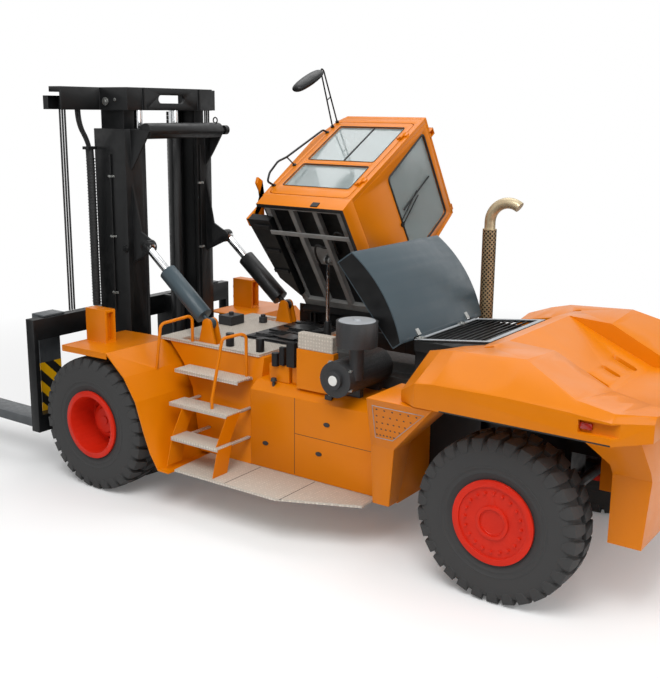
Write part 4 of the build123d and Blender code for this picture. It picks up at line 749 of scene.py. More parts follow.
class Repeat:
    """Geometry Nodes trees that repeat one shape and bake to a plain mesh."""

    def __init__(self, title: str, inputs: dict[str, tuple[str, object]]) -> None:
        """Start a tree.

        Args:
            title: The tree's name.
            inputs: Input name to its socket type and value.
        """
        self.tree = bpy.data.node_groups.new(title, "GeometryNodeTree")
        self.values = inputs
        face = self.tree.interface
        face.new_socket("Shape", in_out="INPUT", socket_type="NodeSocketGeometry")
        self.ids: dict[str, str] = {}
        for name, (kind, _value) in inputs.items():
            self.ids[name] = face.new_socket(name, in_out="INPUT", socket_type=kind).identifier
        self.ids["Finish"] = face.new_socket("Finish", in_out="INPUT", socket_type="NodeSocketMaterial").identifier
        face.new_socket("Shape", in_out="OUTPUT", socket_type="NodeSocketGeometry")
        self.entry = self.tree.nodes.new("NodeGroupInput")

    def node(self, kind: str, settings: dict | None = None, links: dict | None = None,
             values: dict | None = None) -> Node:
        """Add a node to this tree."""
        return add_node(self.tree, kind, settings, links, values)

    def close(self, position: Socket, turn: dict[str, Socket] | None = None) -> None:
        """Put the copies in place and end the tree with real geometry in its material.

        Args:
            position: Place of each copy.
            turn: Link that turns each copy, if they turn.
        """
        take = self.entry.outputs
        points = self.node("GeometryNodePoints", links={"Count": take["Count"], "Position": position})
        copies = self.node("GeometryNodeInstanceOnPoints",
                           links={"Points": points.outputs[0], "Instance": take["Shape"], **(turn or {})})
        real = self.node("GeometryNodeRealizeInstances", links={"Geometry": copies.outputs[0]})
        dressed = self.node("GeometryNodeSetMaterial", links={"Geometry": real.outputs[0], "Material": take["Finish"]})
        self.node("NodeGroupOutput", links={0: dressed.outputs[0]})

    def bake(self, name: str, seed: Mesh, body: str, finish: Finish, smooth: float = SHARP,
             replaces: Iterable[str] = ()) -> Object:
        """Run the tree on a shape and keep the result as a piece.

        Args:
            name: The piece's name.
            seed: Mesh that is repeated.
            body: Body it rides on.
            finish: Its finish.
            smooth: Angle up to which faces shade as one.
            replaces: CAD nodes it stands for.

        Returns:
            The piece.
        """
        carrier = linked(name + "_seed", seed)
        modifier = carrier.modifiers.new("repeat", "NODES")
        modifier.node_group = self.tree
        for key, (_kind, value) in self.values.items():
            modifier[self.ids[key]] = value
        modifier[self.ids["Finish"]] = finish.material()
        mesh = plain(carrier)
        bpy.data.objects.remove(carrier)
        if not mesh.materials:
            mesh.materials.append(finish.material())
        return settle(rounded(name, mesh, 0.0, smooth), body, finish, replaces)


class Ring(Repeat):
    """Repeats a shape round a line along Y."""

    def __init__(self, count: int, centre: Point, offset: float = 0.0) -> None:
        """Build the tree.

        Args:
            count: Copies round the ring.
            centre: Place of the ring's centre.
            offset: Turn of the first copy, in radians.
        """
        super().__init__("Ring", {"Count": ("NodeSocketInt", count), "Centre": ("NodeSocketVector", tuple(centre)),
                                  "Offset": ("NodeSocketFloat", offset)})
        take = self.entry.outputs
        index = self.node("GeometryNodeInputIndex").outputs[0]
        pitch = self.node("ShaderNodeMath", {"operation": "DIVIDE"}, {1: take["Count"]}, {0: 2 * pi})
        angle = self.node("ShaderNodeMath", {"operation": "MULTIPLY_ADD"},
                          {0: index, 1: pitch.outputs[0], 2: take["Offset"]})
        turn = self.node("ShaderNodeCombineXYZ", links={"Y": angle.outputs[0]})
        self.close(take["Centre"], {"Rotation": turn.outputs[0]})


class Row(Repeat):
    """Repeats a shape along a straight line."""

    def __init__(self, count: int, step: Point) -> None:
        """Build the tree.

        Args:
            count: Copies in the row.
            step: Move from one copy to the next.
        """
        super().__init__("Row", {"Count": ("NodeSocketInt", count), "Step": ("NodeSocketVector", tuple(step))})
        index = self.node("GeometryNodeInputIndex").outputs[0]
        place = self.node("ShaderNodeVectorMath", {"operation": "SCALE"},
                          {0: self.entry.outputs["Step"], "Scale": index})
        self.close(place.outputs[0])


@dataclass
class SolidSkins:
    """Soft-edged copies of the solids whose shape is already right, each in its finish."""

    # Finish: nodes that wear it, with their edge rounding in mm
    table: dict = field(default_factory=lambda: {
        Finishes.ORANGE: {"tail": 14, "counterweight": 14, "rear_arches": 10, "side_tanks": 8, "cab_base": 8,
                          "fenders": 4, "cab_roof": 8, "cab_floor": 4, "cab_side_left": 3, "cab_side_right": 3,
                          "cab_back": 6, "cab_nose": 10, "cab_door": 4, "handrail": 0, "deck_gear": 8},
        Finishes.GREY: {"hood": 6, "tilt_barrel_left": 4},
        # tilt_barrel_right is black as painted shade: it is the same blue-grey cylinder as tilt_barrel_left, darkened
        # for the shadow it lies in.
        Finishes.BLACK: {"tilt_barrel_right": 4, "grille": 2, "mast_outer": 4, "mast_inner": 5, "carriage": 6,
                         "lift_barrels": 3, "front_axle": 0, "steer_axle": 4, "knuckle_left": 4, "knuckle_right": 4,
                         "chassis": 0, "radiator": 4, "cab_mounts": 2, "cab_ram_barrel": 2},
        Finishes.STEEL: {"cab_underframe": 3},
        Finishes.CHROME: {"cab_ram_rod": 0, "lift_rods": 0, "tilt_rod_left": 2, "tilt_rod_right": 2},
        Finishes.FORK: {"fork_left": 6, "fork_right": 6},
        Finishes.PLATE: {"deck": 2, "steps": 2},
        Finishes.ENGINE: {"engine": 12},
        Finishes.PLASTIC: {"air_cleaner": 6, "cab_console": 5},
        Finishes.EXHAUST: {"exhaust": 0},
        Finishes.GLASS: {"cab_glass": 0, "door_glass": 0},
        Finishes.TAIL_LAMP: {"lamps": 3},
        Finishes.RED: {"rims_front_left": 3, "rims_front_right": 3, "rim_rear_left": 3, "rim_rear_right": 3}})

    # Node: axis and place of a plane, finish of what lies beyond it
    partings: dict = field(default_factory=lambda: {
        "tilt_rod_left": (0, -0.04, Finishes.BLACK), "tilt_rod_right": (0, -0.04, Finishes.BLACK),
        "cab_ram_rod": (2, 2.46, Finishes.BLACK), "lamps": (0, -2.0, Finishes.LAMP),
        "exhaust": (2, 2.915, Finishes.TAILPIPE)})
    # Nodes of flat panels, whose shallow creases stay crisp, and the angle above which they do
    panels: tuple = ("tail", "counterweight", "rear_arches", "side_tanks", "cab_base", "fenders")
    panel_crease: float = 12.0
    # Angle up to which faces of a solid are merged into one
    flat: float = 0.6
    # Tail: x, fall of the humps' inner edge there, half width of the ridge and of the inner edge
    hump_falls: tuple = ((-3.86, 0.05, 1.06, 0.76), (-4.06, 0.05, 1.2, 0.76), (-4.256, 0.05, 1.29, 0.76),
                         (-4.44, 0.0, 1.293, 0.69), (-4.9, 0.045, 1.3, 0.69), (-5.43, 0.123, 1.54, 0.69),
                         (-5.76, 0.145, 1.59, 0.69), (-6.01, 0.13, 1.34, 0.69))
    # Tail's channel floor in two runs: x where each starts, its height there and its fall per metre
    channel: tuple = ((-4.44, 2.165, 0.4494), (-5.33, 1.765, 0.026))
    # Half width of the floor, half width up to which a low vertex is part of it, and what counts as low
    channel_half: float = 0.685
    channel_foot: float = 0.7
    foot_rise: float = 0.02
    # Height below which nothing moves
    hump_base: float = 1.8

    def build(self) -> None:
        """Make one or two pieces for each node of the table."""
        for finish, nodes in self.table.items():
            for node, edge in nodes.items():
                if node not in self.partings:
                    self.skin(node, "skin_" + node, finish, edge / 1000)
                    continue
                axis, limit, beyond = self.partings[node]
                self.skin(node, "skin_" + node, finish, edge / 1000, (axis, limit, 1.0))
                self.skin(node, "skin_" + node + "_end", beyond, edge / 1000, (axis, limit, -1.0))

    def slope_humps(self, bm: bmesh.types.BMesh) -> None:
        """Lower the humps from their ridge to their inner edge, so that their tops slope to the channel.

        Args:
            bm: The tail's mesh.
        """
        (channel_start, *_), (second_start, *_) = self.channel
        for vert in bm.verts:
            x, y, z = vert.co.x, abs(vert.co.y), vert.co.z
            start, height, slope = self.channel[0 if x > second_start else 1]
            low = z < height - (start - x) * slope + self.foot_rise
            on_floor = y < self.channel_half or (y < self.channel_foot and low)
            if z < self.hump_base or (x < channel_start and on_floor):
                continue
            for (x0, *near), (x1, *far) in zip(self.hump_falls, self.hump_falls[1:]):
                if x1 <= x <= x0:
                    fall, ridge, inner = (p + (q - p) * (x - x0) / (x1 - x0) for p, q in zip(near, far))
                    vert.co.z -= fall * min(max((ridge - y) / (ridge - inner), 0.0), 1.0)
                    break

    def skin(self, node: str, name: str, finish: Finish, bevel: float,
             cut: tuple[int, float, float] | None = None) -> Object:
        """Merge a copy of a node's mesh, flatten its faces and round its edges.

        Args:
            node: CAD node.
            name: The piece's name.
            finish: Its finish.
            bevel: Edge rounding in metres.
            cut: Axis and place of a plane and the side of it that is left out, or nothing.

        Returns:
            The piece.
        """
        bm = bmesh.new()
        bm.from_mesh(frame["nodes"][node].data)
        bmesh.ops.remove_doubles(bm, verts=bm.verts, dist=MERGE)
        if node == "tail":
            self.slope_humps(bm)
        if cut:
            axis, limit, side = cut
            middle, normal = Vector((0, 0, 0)), Vector((0, 0, 0))
            middle[axis], normal[axis] = limit, side
            found = bmesh.ops.bisect_plane(bm, geom=bm.verts[:] + bm.edges[:] + bm.faces[:], plane_co=middle,
                                           plane_no=normal, clear_outer=True)["geom_cut"]
            rim = [e for e in found if isinstance(e, bmesh.types.BMEdge)]
            if rim:
                bmesh.ops.triangle_fill(bm, edges=rim, use_beauty=True)
                bmesh.ops.recalc_face_normals(bm, faces=bm.faces)
        bmesh.ops.dissolve_limit(bm, angle_limit=radians(self.flat), verts=bm.verts, edges=bm.edges)
        mesh = bpy.data.meshes.new(name)
        bm.to_mesh(mesh)
        bm.free()
        mesh.materials.clear()
        crease = self.panel_crease if node in self.panels else SHARP
        return settle(rounded(name, mesh, bevel, crease), body_of_node(node), finish, [node])


@dataclass
class Tyres:
    """Six lugged tyres."""

    radius: float = 0.747
    ground_radius: float = 0.708
    lugs: int = 30
    # Tread blocks: how far their foot sinks into the tyre, share of their drop that it follows, least height,
    # spread of the foot, and how far it sits back at the ends
    foot_sink: float = 0.012
    foot_follow: float = 0.85
    lug_height: float = 0.004
    foot_spread: float = 1.18
    foot_back: float = 0.02
    # Node, body, wheel x, middle of each tyre
    table: tuple = (
        ("tyres_front_left", "wheel_front_left", 0.0, (1.445, 0.955)),
        ("tyres_front_right", "wheel_front_right", 0.0, (-1.445, -0.955)),
        ("tyre_rear_left", "wheel_rear_left", REAR_AXLE_X, (1.225,)),
        ("tyre_rear_right", "wheel_rear_right", REAR_AXLE_X, (-1.225,)),
    )

    def carcass(self, name: str, body: str, x: float, middles: Sequence[float], node: str) -> None:
        """Turn the tyre's round body with its bead, wall ribs and shoulder.

        Args:
            name: The piece's name.
            body: Body it rides on.
            x: Place of the axle.
            middles: Middle of each tyre across the truck.
            node: CAD node it stands for.
        """
        r = self.ground_radius
        # Offset from the tyre's middle and radius: tread, shoulder, wall with its ribs, bead
        half = [(0.0, r), (0.12, r), (0.17, r - 0.006), (0.2, r - 0.035), (0.2105, r - 0.08), (0.2135, 0.585),
                (0.2142, 0.56), (0.2135, 0.53), (0.211, 0.5), (0.214, 0.496), (0.213, 0.484), (0.209, 0.48),
                (0.203, 0.45), (0.205, 0.446), (0.204, 0.436), (0.2, 0.432), (0.192, 0.405), (0.178, 0.3773),
                (0.178, 0.3303)]
        profile = half + [(-y, q) for y, q in reversed(half[1:])]
        shape = Shape()
        for y in middles:
            shape.turned(profile, (x, y, AXLE_Z), 120)
        shape.piece(name, body, Finishes.TYRE, replaces=[node], smooth=40)

    def lug(self, side: float, middle: float) -> Mesh:
        """One tread block that wraps over the shoulder.

        Args:
            side: 1 or -1 for the half of the tread.
            middle: Middle of its tyre across the truck.

        Returns:
            The block, about the axle line.
        """
        # Offset from the middle, drop of the radius, shift round the tyre, half length round it
        rows = ((0.014, 0.0, 0.0, 0.034), (0.07, 0.0, 0.008, 0.046), (0.15, 0.003, 0.022, 0.054),
                (0.188, 0.012, 0.03, 0.055), (0.209, 0.055, 0.032, 0.052), (0.2145, 0.115, 0.03, 0.03))
        shape = Shape()
        rings = []
        for y, drop, shift, width in rows:
            outer = self.radius - drop
            inner = min(outer - self.lug_height, self.ground_radius - self.foot_sink - drop * self.foot_follow)
            foot = width * self.foot_spread
            ring = []
            for radius, spread in ((outer, width), (outer, -width), (inner, -foot), (inner, foot)):
                angle = (shift + spread) / self.radius
                depth = 0.0 if radius == outer else min(self.foot_back, y * 0.1)
                ring.append(shape.bm.verts.new((radius * sin(angle), middle + side * (y - depth),
                                                radius * cos(angle))))
            rings.append(ring)
        for here, there in zip(rings, rings[1:]):
            shape.band(here, there)
        shape.bm.faces.new(rings[0][::-1])
        shape.bm.faces.new(rings[-1])
        bmesh.ops.recalc_face_normals(shape.bm, faces=shape.bm.faces)
        return shape.mesh("lug")

    def build(self) -> None:
        """Make the tyres and their tread rings."""
        for node, body, x, middles in self.table:
            self.carcass("carcass_" + node, body, x, middles, node)
            for number, middle in enumerate(middles):
                for side, half, offset in ((1.0, "outer", 0.0), (-1.0, "inner", pi / self.lugs)):
                    Ring(self.lugs, (x, 0.0, AXLE_Z), offset).bake(
                        f"tread_{node}_{number}_{half}", self.lug(side, middle), body, Finishes.TYRE, smooth=25)


@dataclass
class Wheels:
    """Nuts and covers of the rims."""

    nut_circle: float = 0.262
    nuts: int = 20
    # Place of the discs' faces across the truck
    front_face: float = 1.32
    rear_face: float = 1.395

    def nut_ring(self, name: str, body: str, x: float, face: float, side: float) -> None:
        """Ring of wheel nuts on their washers.

        Args:
            name: The piece's name.
            body: Body it rides on.
            x: Place of the axle.
            face: Place of the disc's face across the truck.
            side: 1 for left, -1 for right.
        """
        shape = Shape()
        # Washer, nut and stud: start and end off the face, radius, sides
        for low, high, radius, sides in ((-0.004, 0.005, 0.021, 16), (0.0, 0.019, 0.0145, 6), (0.0, 0.03, 0.008, 10)):
            shape.rod((0, face + side * low, self.nut_circle), (0, face + side * high, self.nut_circle), radius,
                      sides=sides)
        Ring(self.nuts, (x, 0.0, AXLE_Z)).bake(name, shape.mesh("nut"), body, Finishes.RED, smooth=30)

    def build(self) -> None:
        """Dress the front and rear hubs."""
        for side, word in SIDES:
            body = f"wheel_front_{word}"
            self.nut_ring(f"hub_nuts_{word}", body, 0.0, side * self.front_face, side)
            cap = Shape()
            cap.rod((0, side * 1.424, AXLE_Z), (0, side * 1.45, AXLE_Z), 0.15, 0.135, sides=48)
            cap.rod((0, side * 1.449, AXLE_Z), (0, side * 1.462, AXLE_Z), 0.05, sides=24)
            cap.piece(f"hub_cap_{word}", body, Finishes.RED, bevel=0.003)
            body = f"wheel_rear_{word}"
            self.nut_ring(f"rear_nuts_{word}", body, REAR_AXLE_X, side * self.rear_face, side)
            rings = Shape()
            for profile in (((0.0, 0.335), (0.012, 0.33), (0.012, 0.312), (0.0, 0.307)),
                            ((0.021, 0.128), (0.03, 0.124), (0.03, 0.108), (0.021, 0.1))):
                rings.turned([(side * y, r) for y, r in profile], (REAR_AXLE_X, side * self.rear_face, AXLE_Z))
            rings.piece(f"rear_hub_ring_{word}", body, Finishes.RED)


@dataclass
class MastDress:
    """Hoses, chains, pipes and small brackets of the mast."""

    # Plane of the hoses, and the heights between which they hang
    hose_x: float = 0.78
    hose_top: float = 4.11
    hose_foot: float = 1.86
    hose_radius: float = 0.011
    # The wrapped bundle below the clamp
    thick_radius: float = 0.046
    thick_y: float = 0.8
    chain_x: float = 0.65
    chain_y: float = 0.345

    def hoses(self) -> None:
        """Thin lines at each arm's end, more that gather at a clamp, and the wrapped bundle below it."""
        x, thick, r = self.hose_x, self.thick_y, self.thick_radius
        for side, word in SIDES:
            def route(*points: tuple[float, float]) -> list[Point]:
                """Route in the hoses' plane on this side, from pairs of y and z."""
                return [(x, side * y, z) for y, z in points]

            lines = Shape()
            for y in (1.14 + i * 0.035 for i in range(3)):
                lines.pipe(route((y, self.hose_top), (y, 3.0), (y, self.hose_foot)), self.hose_radius, smooth=True)
            for i in range(3):
                lines.pipe(route((0.93 + i * 0.028, self.hose_top), (0.93 + i * 0.026, 3.95), (0.8 + i * 0.024, 3.75),
                                 (thick - 0.02 + i * 0.018, 3.62)), self.hose_radius, smooth=True)
            lines.piece(f"mast_hoses_{word}", "inner_mast", Finishes.HOSE)
            bundle = route((thick + 0.01, 3.68), (thick, 3.5), (thick, 2.9), (thick, self.hose_foot))
            Shape().pipe(bundle, r, smooth=True).piece(f"hose_bundle_{word}", "inner_mast", Finishes.HOSE)
            wrap = Shape().turned([(-0.007, r - 0.002), (0.007, r - 0.002), (0.004, r + 0.006), (-0.004, r + 0.006)],
                                  (0, 0, 0), 20)
            wrap.moved(Matrix.Translation((x, side * thick, 1.9)) @ Matrix.Rotation(pi / 2 + 0.2, 4, "X"))
            Row(50, (0.0, 0.0, 0.034)).bake(f"hose_wrap_{word}", wrap.mesh("wrap"), "inner_mast", Finishes.HOSE)
            clamp = Shape().box((x - 0.055, side * (thick - 0.06), 3.665), (x + 0.045, side * (thick + 0.075), 3.7))
            clamp.rod((x - 0.062, side * thick, 3.683), (x - 0.05, side * thick, 3.683), 0.012, sides=6)
            clamp.piece(f"hose_clamp_{word}", "inner_mast", Finishes.BLACK, bevel=0.003)

    def chains(self) -> None:
        """Leaf chains in front of the lift cylinders, down to the carriage."""
        for side, word in SIDES:
            link = Shape()
            y = side * self.chain_y
            for i in range(5):
                place = y - 0.022 + i * 0.011
                link.box((self.chain_x - 0.013, place - 0.0035, 1.5), (self.chain_x + 0.013, place + 0.0035, 1.546))
            link.rod((self.chain_x, y - 0.028, 1.51), (self.chain_x, y + 0.028, 1.51), 0.008, sides=8)
            Row(54, (0.0, 0.0, 0.048)).bake(f"leaf_chain_{word}", link.mesh("link"), "inner_mast", Finishes.HOSE,
                                            replaces=["leaf_chains"])

    def clips(self) -> None:
        """Pipe with bright clips on the left column's outer face, one behind the right column, and a boss."""
        pipes = Shape().pipe([(0.54, 0.728, 3.62), (0.535, 0.728, 1.8)], 0.011)
        pipes.pipe([(0.287, -0.5, 3.7), (0.287, -0.5, 1.7)], 0.011).piece("mast_pipes", "mast", Finishes.BLACK)
        clip = Shape()
        for z in (2.023, 2.683, 3.369):
            clip.box((0.49, 0.7155, z - 0.012), (0.59, 0.7185, z + 0.012))
            clip.box((0.52, 0.7155, z - 0.012), (0.556, 0.742, z + 0.012))
            for x in (0.503, 0.577):
                clip.rod((x, 0.717, z), (x, 0.73, z), 0.01, sides=6)
        clip.piece("pipe_clips_left", "mast", Finishes.ZINC, bevel=0.0015)
        other = Shape()
        for z in (2.46, 3.244):
            other.box((0.272, -0.54, z - 0.012), (0.2995, -0.46, z + 0.012))
            other.rod((0.265, -0.525, z), (0.275, -0.525, z), 0.01, sides=6)
        other.piece("pipe_clips_right", "mast", Finishes.ZINC, bevel=0.0015)
        boss = Shape()
        boss.rod((0.345, 0.7152, 2.554), (0.345, 0.735, 2.554), 0.045, 0.04)
        boss.rod((0.345, 0.734, 2.554), (0.345, 0.742, 2.554), 0.02, sides=6)
        boss.piece("column_boss", "mast", Finishes.BLACK, bevel=0.002)

    def head(self) -> None:
        """Open box at the left arm's end, sheave pins, and the knob and ring of the tie tube."""
        shape = Shape()
        low, high = (0.905, 1.1, 4.108), (0.99, 1.26, 4.256)
        wall = 0.009
        shape.box(low, (high[0], low[1] + wall, high[2]))
        shape.box((low[0], high[1] - wall, low[2]), high)
        shape.box(low, (high[0], high[1], low[2] + wall))
        shape.box((low[0], low[1], high[2] - wall), high)
        shape.box((0.93, low[1] + wall, low[2] + wall), (0.95, high[1] - wall, high[2] - wall))
        shape.piece("arm_end_box", "inner_mast", Finishes.BLACK, bevel=0.002)
        pins = Shape()
        for side in (1.0, -1.0):
            pins.rod((0.6, side * 0.7, 4.2), (0.6, side * 0.715, 4.2), 0.045)
            pins.rod((0.6, side * 0.715, 4.2), (0.6, side * 0.722, 4.2), 0.02, sides=6)
            pins.rod((0.45, side * 0.7, 4.22), (0.45, side * 0.708, 4.22), 0.02, sides=6)
        pins.piece("sheave_pins", "inner_mast", Finishes.ZINC, bevel=0.002)
        knob = Shape()
        knob.rod((0.085, -0.63, 3.88), (0.085, -0.71, 3.88), 0.03)
        knob.rod((0.085, -0.7, 3.88), (0.085, -0.76, 3.88), 0.055)
        ring = [(0.085 + 0.032 * cos(k * pi / 8), -0.56, 3.995 + 0.032 * sin(k * pi / 8)) for k in range(16)]
        knob.pipe(ring, 0.008, closed=True)
        knob.piece("tie_tube_knob", "mast", Finishes.BLACK)

    def build(self) -> None:
        """Make everything on the mast."""
        for make in (self.hoses, self.chains, self.clips, self.head):
            make()


@dataclass
class ForkDress:
    """Painted bands on the fork shanks."""

    # Outer face of the shank across the truck
    face_y: float = 1.4855

    def build(self) -> None:
        """Thin sheet of bands on the rear and outer faces of each shank."""
        for side, word in SIDES:
            shape = Shape()
            outer = side * self.face_y
            shape.box((1.006, outer - side * 0.0005, 0.47), (1.114, outer + side * 0.0008, 1.25))
            shape.box((1.0035, side * 1.187, 0.55), (1.0049, side * 1.484, 1.25))
            shape.piece(f"fork_bands_{word}", f"fork_{word}", Finishes.HAZARD)


@dataclass
class BodyDress:
    """Seams, handles, plates and fittings of the body, and the gear beside the engine and under the cab."""

    wall_y: float = 1.03
    # Half length and half height of the oval handles
    grip_half: tuple = (0.036, 0.022)
    # Rear arch: y and z where its slope starts, run outward and rise of the slope
    arch: tuple = (1.34, 1.15, 0.29, 0.54)
    # Field of holes on the arch: x of its front and rear edge and its height, each with the change to its top
    hole_field: tuple = ((-3.53, -0.08), (-3.71, -0.42), (1.26, 0.36))
    # Air cleaner's front: x and z of its middle, circle of its latches
    cleaner_front: tuple = (-2.93, 1.645, 0.176)
    # Grille's frame: x of its front edge outside and inside, of its rear edge inside and outside
    frame_x: tuple = (-3.452, -3.5, -4.185, -4.243)
    # Its half width outside and inside, height at the front and rear, thickness
    frame_y: tuple = (0.62, 0.575)
    frame_z: tuple = (2.0052, 2.0952, 0.004)
    # Open hood: slope in degrees, x and z of its hinge, bulge of its top, inset of its flanks
    hood_slope: float = 55.0
    hood_hinge: tuple = (-3.43, 2.0)
    hood_bulge: float = 0.092
    hood_inset: float = 0.012

    # Plain pieces, from the air cleaner and the battery beside the hood to the bay under the cab
    fittings: tuple = (
        Fitting("cleaner_cap", Finishes.WHITE, 0.001,
                rods=(((-2.93, 1.2295, 1.645), (-2.93, 1.236, 1.645), 0.05, 0.047),)),
        Fitting("cleaner_lid", Finishes.LID, 0.001, rods=(
            ((-3.075, 1.045, 2.2145), (-3.075, 1.045, 2.2195), 0.178, 0.172, 64),
            ((-3.075, 1.045, 2.219), (-3.075, 1.045, 2.232), 0.04, 0.034))),
        Fitting("battery_wall", Finishes.ORANGE, 0.004, (((-2.76, 0.89, 1.4105), (-2.31, 0.975, 1.82)),)),
        Fitting("battery_cover", Finishes.PLATE, 0.004, (((-2.74, 0.88, 1.821), (-2.32, 0.965, 1.985)),)),
        Fitting("deck_boxes", Finishes.BLACK, 0.006, (
            ((-2.26, 0.89, 1.6), (-2.16, 0.95, 1.86)), ((-2.12, 0.89, 1.6), (-2.06, 0.94, 1.79)),
            ((-3.3, -0.79, 1.411), (-2.54, -0.765, 1.74)), ((-2.54, -0.79, 1.411), (-2.1, -0.765, 1.65))),
                (((-2.0, 0.92, 1.58), (-2.0, 0.92, 1.72), 0.04),)),
        Fitting("hinge_plate", Finishes.BLACK, 0.004, (
            ((-1.72, -0.906, 1.42), (-0.95, -0.886, 1.83)), ((-2.35, -0.906, 1.42), (-1.72, -0.886, 1.72)))),
        Fitting("service_bay", Finishes.BLACK, 0.002, (
            ((-1.69, -0.8, 1.6305), (-1.0, 0.3, 1.634)),
            *(((-1.66, y, 1.634), (-1.05, y + 0.06, 1.65)) for y in (-0.72, -0.5, -0.22, 0.02, 0.2)),
            ((-1.5, -0.6, 1.634), (-1.2, -0.34, 1.656)), ((-1.62, -0.1, 1.634), (-1.4, 0.12, 1.655)))),
        Fitting("deck_plugs", Finishes.PLASTIC, 0.006, (((-0.56, -0.3, 1.6305), (-0.36, -0.06, 1.74)),), (
            ((-0.72, -0.46, 1.6305), (-0.72, -0.46, 1.70), 0.05), ((-0.72, -0.46, 1.70), (-0.72, -0.46, 1.73), 0.03),
            ((-0.46, -0.18, 1.739), (-0.46, -0.18, 1.775), 0.03))),
        # Thin black panels along both sides of the grille are painted shade: they stand for the dark of the engine bay
        # and hide what lies beyond it.
        Fitting("grille_painted_shade", Finishes.BLACK, 0.001, (
            ((-4.24, 0.622, 1.9), (-3.46, 0.635, 2.0)), ((-4.24, -0.622, 1.9), (-3.46, -0.635, 2.0)))),
    )

    def tanks(self) -> None:
        """Seams, oval handles, filler knob and latch of the side tanks."""
        for side, word in SIDES:
            near, far = side * (self.wall_y - 0.002), side * (self.wall_y + 0.0008)
            seams = Shape()
            for x in (-2.33, -3.378):
                seams.box((x - 0.003, near, 0.52), (x + 0.003, far, 1.322))
            seams.box((-3.375, near, 0.949), (-2.333, far, 0.954))
            for x in (-1.9, -2.6):
                seams.box((x - 0.004, side * 1.045, 0.4995), (x + 0.004, side * 1.625, 0.5008))
            seams.piece(f"body_seams_{word}", "truck", Finishes.HOSE)
            grips = Shape()
            a, b = self.grip_half
            for x, z in ((-1.955, 0.771), (-2.726, 1.118), (-2.632, 0.796)):
                oval = [(x + a * cos(k * pi / 12), z + b * sin(k * pi / 12)) for k in range(24)]
                grips.prism(oval, near, side * (self.wall_y + 0.01))
            grips.rod((-2.0, side * 0.95, 1.37), (-2.0, side * 0.95, 1.43), 0.016)
            grips.rod((-2.0, side * 0.95, 1.425), (-2.0, side * 0.95, 1.46), 0.034, 0.026)
            grips.box((-2.75, side * 0.955, 1.36), (-2.67, side * 0.99, 1.405))
            grips.piece(f"tank_fittings_{word}", "truck", Finishes.PLASTIC, bevel=0.002)

    def steps(self) -> None:
        """Thin orange plates that join the lower treads at their ends."""
        low = (-1.094, -1.7265), ((1.3, 0.782), (1.52, 0.782), (1.6, 0.502), (1.38, 0.502))
        high = (-1.0895, -1.697), ((1.13, 1.082), (1.34, 1.082), (1.51, 0.802), (1.3, 0.802))
        for side, word in SIDES:
            shape = Shape()
            for ends, outline in (low, high):
                for x in ends:
                    shape.prism([(side * y, z) for y, z in outline], x - 0.003, x + 0.003, axis=0)
            shape.piece(f"step_cheeks_{word}", "truck", Finishes.ORANGE)

    def arches(self) -> None:
        """Pale outline and rows of small holes on each rear arch."""
        y0, z0, run, rise = self.arch
        lean = atan2(run, rise)

        def place(u: float, v: float) -> tuple[float, float]:
            """Give x and z of a point at shares u and v of the field."""
            front, rear, height = (start + change * v for start, change in self.hole_field)
            return front + (rear - front) * u, height

        for side, word in SIDES:
            def face(x: float, z: float, out: float) -> Vector:
                """Point of this side's slope, moved out of it."""
                return Vector((x, side * (y0 + (z - z0) / rise * run + out * cos(lean)), z - out * sin(lean)))

            outline = [face(*place(u, v), 0.002) for u, v in ((0, 0), (1, 0), (1, 1), (0, 1))]
            Shape().pipe(outline, 0.004, closed=True).piece(f"arch_outline_{word}", "truck", Finishes.LID)
            holes = Shape()
            for row in range(5):
                for column in range(6):
                    x, z = place((column + 0.5) / 6, (row + 0.5) / 5)
                    holes.rod(face(x, z, -0.004), face(x, z, 0.0012), 0.009, sides=12)
            holes.piece(f"arch_holes_{word}", "truck", Finishes.HOSE)

    def latches(self) -> None:
        """Latches round the air cleaner's front."""
        x0, z0, radius = self.cleaner_front
        clips = Shape()
        for turn in (0.5, 1.6, 2.7, 4.2, 5.3):
            x, z = x0 + radius * sin(turn), z0 + radius * cos(turn)
            clips.rod((x, 1.12, z), (x, 1.18, z), 0.01, sides=8)
            clips.rod((x, 1.15, z), (x, 1.158, z), 0.018, sides=8)
        clips.piece("cleaner_clips", "truck", Finishes.ZINC)

    def bay(self) -> None:
        """Hoses that lie in the open bay under the cab."""
        lines = Shape()
        for i in range(4):
            route = [(-1.64, -0.62 + 0.05 * i, 1.645), (-1.3 - 0.05 * i, -0.4 + 0.04 * i, 1.645),
                     (-1.1 - 0.04 * i, 0.26, 1.645)]
            lines.pipe(bent(route, 0.08), 0.009)
        lines.piece("bay_hoses", "truck", Finishes.HOSE)

    def grille(self) -> None:
        """Bare metal frame round the grille, and the hood's hinge brackets."""
        front, front_in, rear_in, rear = self.frame_x
        half, half_in = self.frame_y
        low, high, thick = self.frame_z

        def top(x: float) -> float:
            """Height of the frame's underside at x."""
            return low + (high - low) * (x - front) / (rear - front)

        rim = Shape()
        for x0, x1, y0, y1 in ((front, front_in, -half, half), (rear_in, rear, -half, half),
                               (front_in, rear_in, -half, -half_in), (front_in, rear_in, half_in, half)):
            rim.prism([(x0, top(x0)), (x1, top(x1)), (x1, top(x1) + thick), (x0, top(x0) + thick)], y0, y1)
        rim.piece("grille_frame", "truck", Finishes.LID)
        hinges = Shape()
        for y in (-0.42, 0.42):
            hinges.box((-3.52, y + 0.09, 2.008), (-3.46, y + 0.19, 2.024))
            for x in (-3.505, -3.475):
                hinges.rod((x, y + 0.14, 2.02), (x, y + 0.14, 2.033), 0.011, sides=6)
        hinges.piece("hood_hinges", "truck", Finishes.ZINC, bevel=0.001)

    def hood(self) -> None:
        """Black sheets on the open hood's flanks as painted shade, and the bright strip and tabs along its hinged edge.
        """
        slope, (x, z) = radians(self.hood_slope), self.hood_hinge
        place = Matrix(((cos(slope), 0, -sin(slope), x), (0, 1, 0, 0), (sin(slope), 0, cos(slope), z), (0, 0, 0, 1)))
